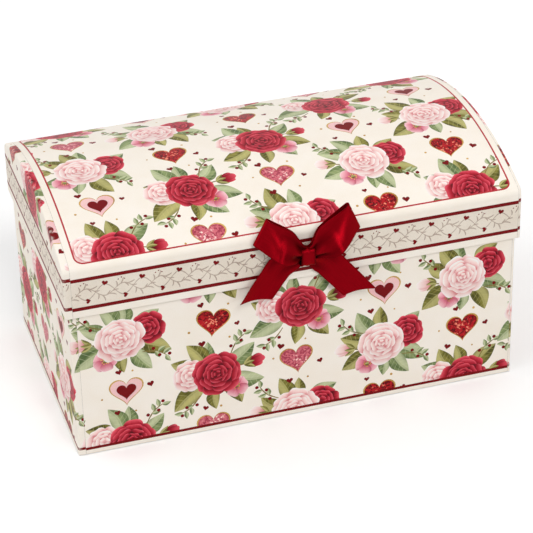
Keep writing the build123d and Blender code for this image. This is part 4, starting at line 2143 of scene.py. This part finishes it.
@dataclass
class Studio:
    """Plain pale floor, soft light and the camera at the photograph's angle."""

    camera_at: tuple[float, float, float] = (-0.3168, -1.0841, 0.7507)
    azimuth: float = -16.48
    elevation: float = 31.67
    roll: float = -1.42
    lens: float = 158.7
    sensor: float = 36.0
    clip: tuple[float, float] = (0.01, 50.0)
    floor_half: float = 6.0
    floor_tint: Colour = srgb(208, 208, 208)
    floor_seen: Colour = srgb(254, 254, 254)  # by the camera, so that the ground is as white as the sky
    floor_lift: float = 0.1
    sky: float = 0.58
    dark_front: float = 0.45  # how much of the sky's light the dark room in front takes away
    room_ahead: tuple[float, float] = (0.3, 0.85)
    room_top: tuple[float, float] = (0.45, 0.85)
    lamps: tuple[Lamp, ...] = (
        Lamp("key", 0.16, 40.0, 150.0, 80.0),
        Lamp("fill", 0.88, 70.0, -90.0, 30.0),
        Lamp("front", 0.85, 16.0, 4.0, 46.0),
        Lamp("glint", 0.45, 18.0, 20.0, 18.0),
    )

    def camera(self) -> None:
        """Makes the camera, square and without shift."""
        made = new_object("camera", bpy.data.cameras.new("camera"))
        made.data.lens, made.data.sensor_width = self.lens, self.sensor
        made.data.clip_start, made.data.clip_end = self.clip
        ahead = -direction(self.azimuth, self.elevation)
        aim = ahead.to_track_quat("-Z", "Y").to_matrix().to_4x4()
        roll = Matrix.Rotation(math.radians(self.roll), 4, "Z")
        made.matrix_world = Matrix.Translation(self.camera_at) @ aim @ roll
        bpy.context.scene.camera = made

    def floor(self) -> None:
        """Makes the floor, a pale sheet that keeps the object's shadow."""
        half = self.floor_half
        corners = [(*corner, 0.0) for corner in box_of((-half, -half), (half, half)).tolist()]
        mesh = bpy.data.meshes.new("floor")
        mesh.from_pydata(corners, [], [(0, 1, 2, 3)])
        paint, nodes = new_material("floor_paint")
        seen = nodes.seen()
        tint = nodes.mix(seen, self.floor_tint, self.floor_seen)
        matt = nodes.add("ShaderNodeBsdfDiffuse", {"Color": tint})
        lift = nodes.times(seen, self.floor_lift)
        glow = nodes.add("ShaderNodeEmission", {"Color": WHITE, "Strength": lift})
        both = nodes.add("ShaderNodeAddShader", {0: matt.outputs[0], 1: glow.outputs[0]})
        nodes.add("ShaderNodeOutputMaterial", {"Surface": both.outputs[0]})
        mesh.materials.append(paint)
        new_object("floor", mesh)

    def light(self) -> None:
        """Lights the scene by a sky that the camera sees as white, and by soft lamps."""
        world = bpy.data.worlds.new("sky")
        bpy.context.scene.world = world
        world.use_nodes = True
        nodes = Nodes(world.node_tree)
        way = nodes.split(nodes.add("ShaderNodeTexCoord", {}).outputs["Generated"])
        ahead = nodes.smooth(nodes.times(way[1], -1.0), *self.room_ahead)
        low = nodes.less(1.0, nodes.smooth(way[2], *self.room_top))
        room = nodes.times(nodes.times(ahead, low), self.dark_front)
        levels = {"Value": nodes.seen(), "To Min": self.sky, "To Max": 1.0}
        level = nodes.add("ShaderNodeMapRange", levels).outputs[0]
        strength = nodes.times(level, nodes.less(1.0, room))
        glow = nodes.add("ShaderNodeBackground", {"Color": WHITE, "Strength": strength})
        nodes.add("ShaderNodeOutputWorld", {"Surface": glow.outputs[0]})
        for lamp in self.lamps:
            lamp.build()

    def build(self) -> None:
        """Builds the floor, the light and the camera."""
        bpy.context.scene.view_settings.view_transform = "Standard"
        self.floor()
        self.light()
        self.camera()


def dress_frame(effects: Effects) -> None:
    """Gives the boards, linings, stays, bottom sheet and glue of the frame their finishes.

    Args:
        effects: The shared effects.
    """
    lining = LINING.material("lining_paper", effects)
    finishes = {
        "_board": GREYBOARD.material("greyboard"),
        "_lining": lining,
        "_stay": lining,
        "base_bottom_paper": BOTTOM.material("bottom_paper", effects),
        "bow_glue_dot": SET_GLUE.material("set_glue"),
    }
    for name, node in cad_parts.items():
        for ending, material in finishes.items():
            if name.endswith(ending):
                node.data.materials[0] = material


def main() -> None:
    """Builds the studio, dresses the frame and puts the printed sheets and the bow on it."""
    logging.basicConfig(level=logging.INFO, format="%(name)s: %(message)s")
    Studio().build()
    effects = Effects()
    dress_frame(effects)
    materials = [PRINT[ink].material(f"print_{ink.name.lower()}", effects) for ink in Ink]
    BaseBox().build(materials)
    ArchedLid().build(materials)
    SatinBow().build(SatinFinish().material("crimson_satin", effects))
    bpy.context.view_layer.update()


if __name__ == "__main__":
    main()
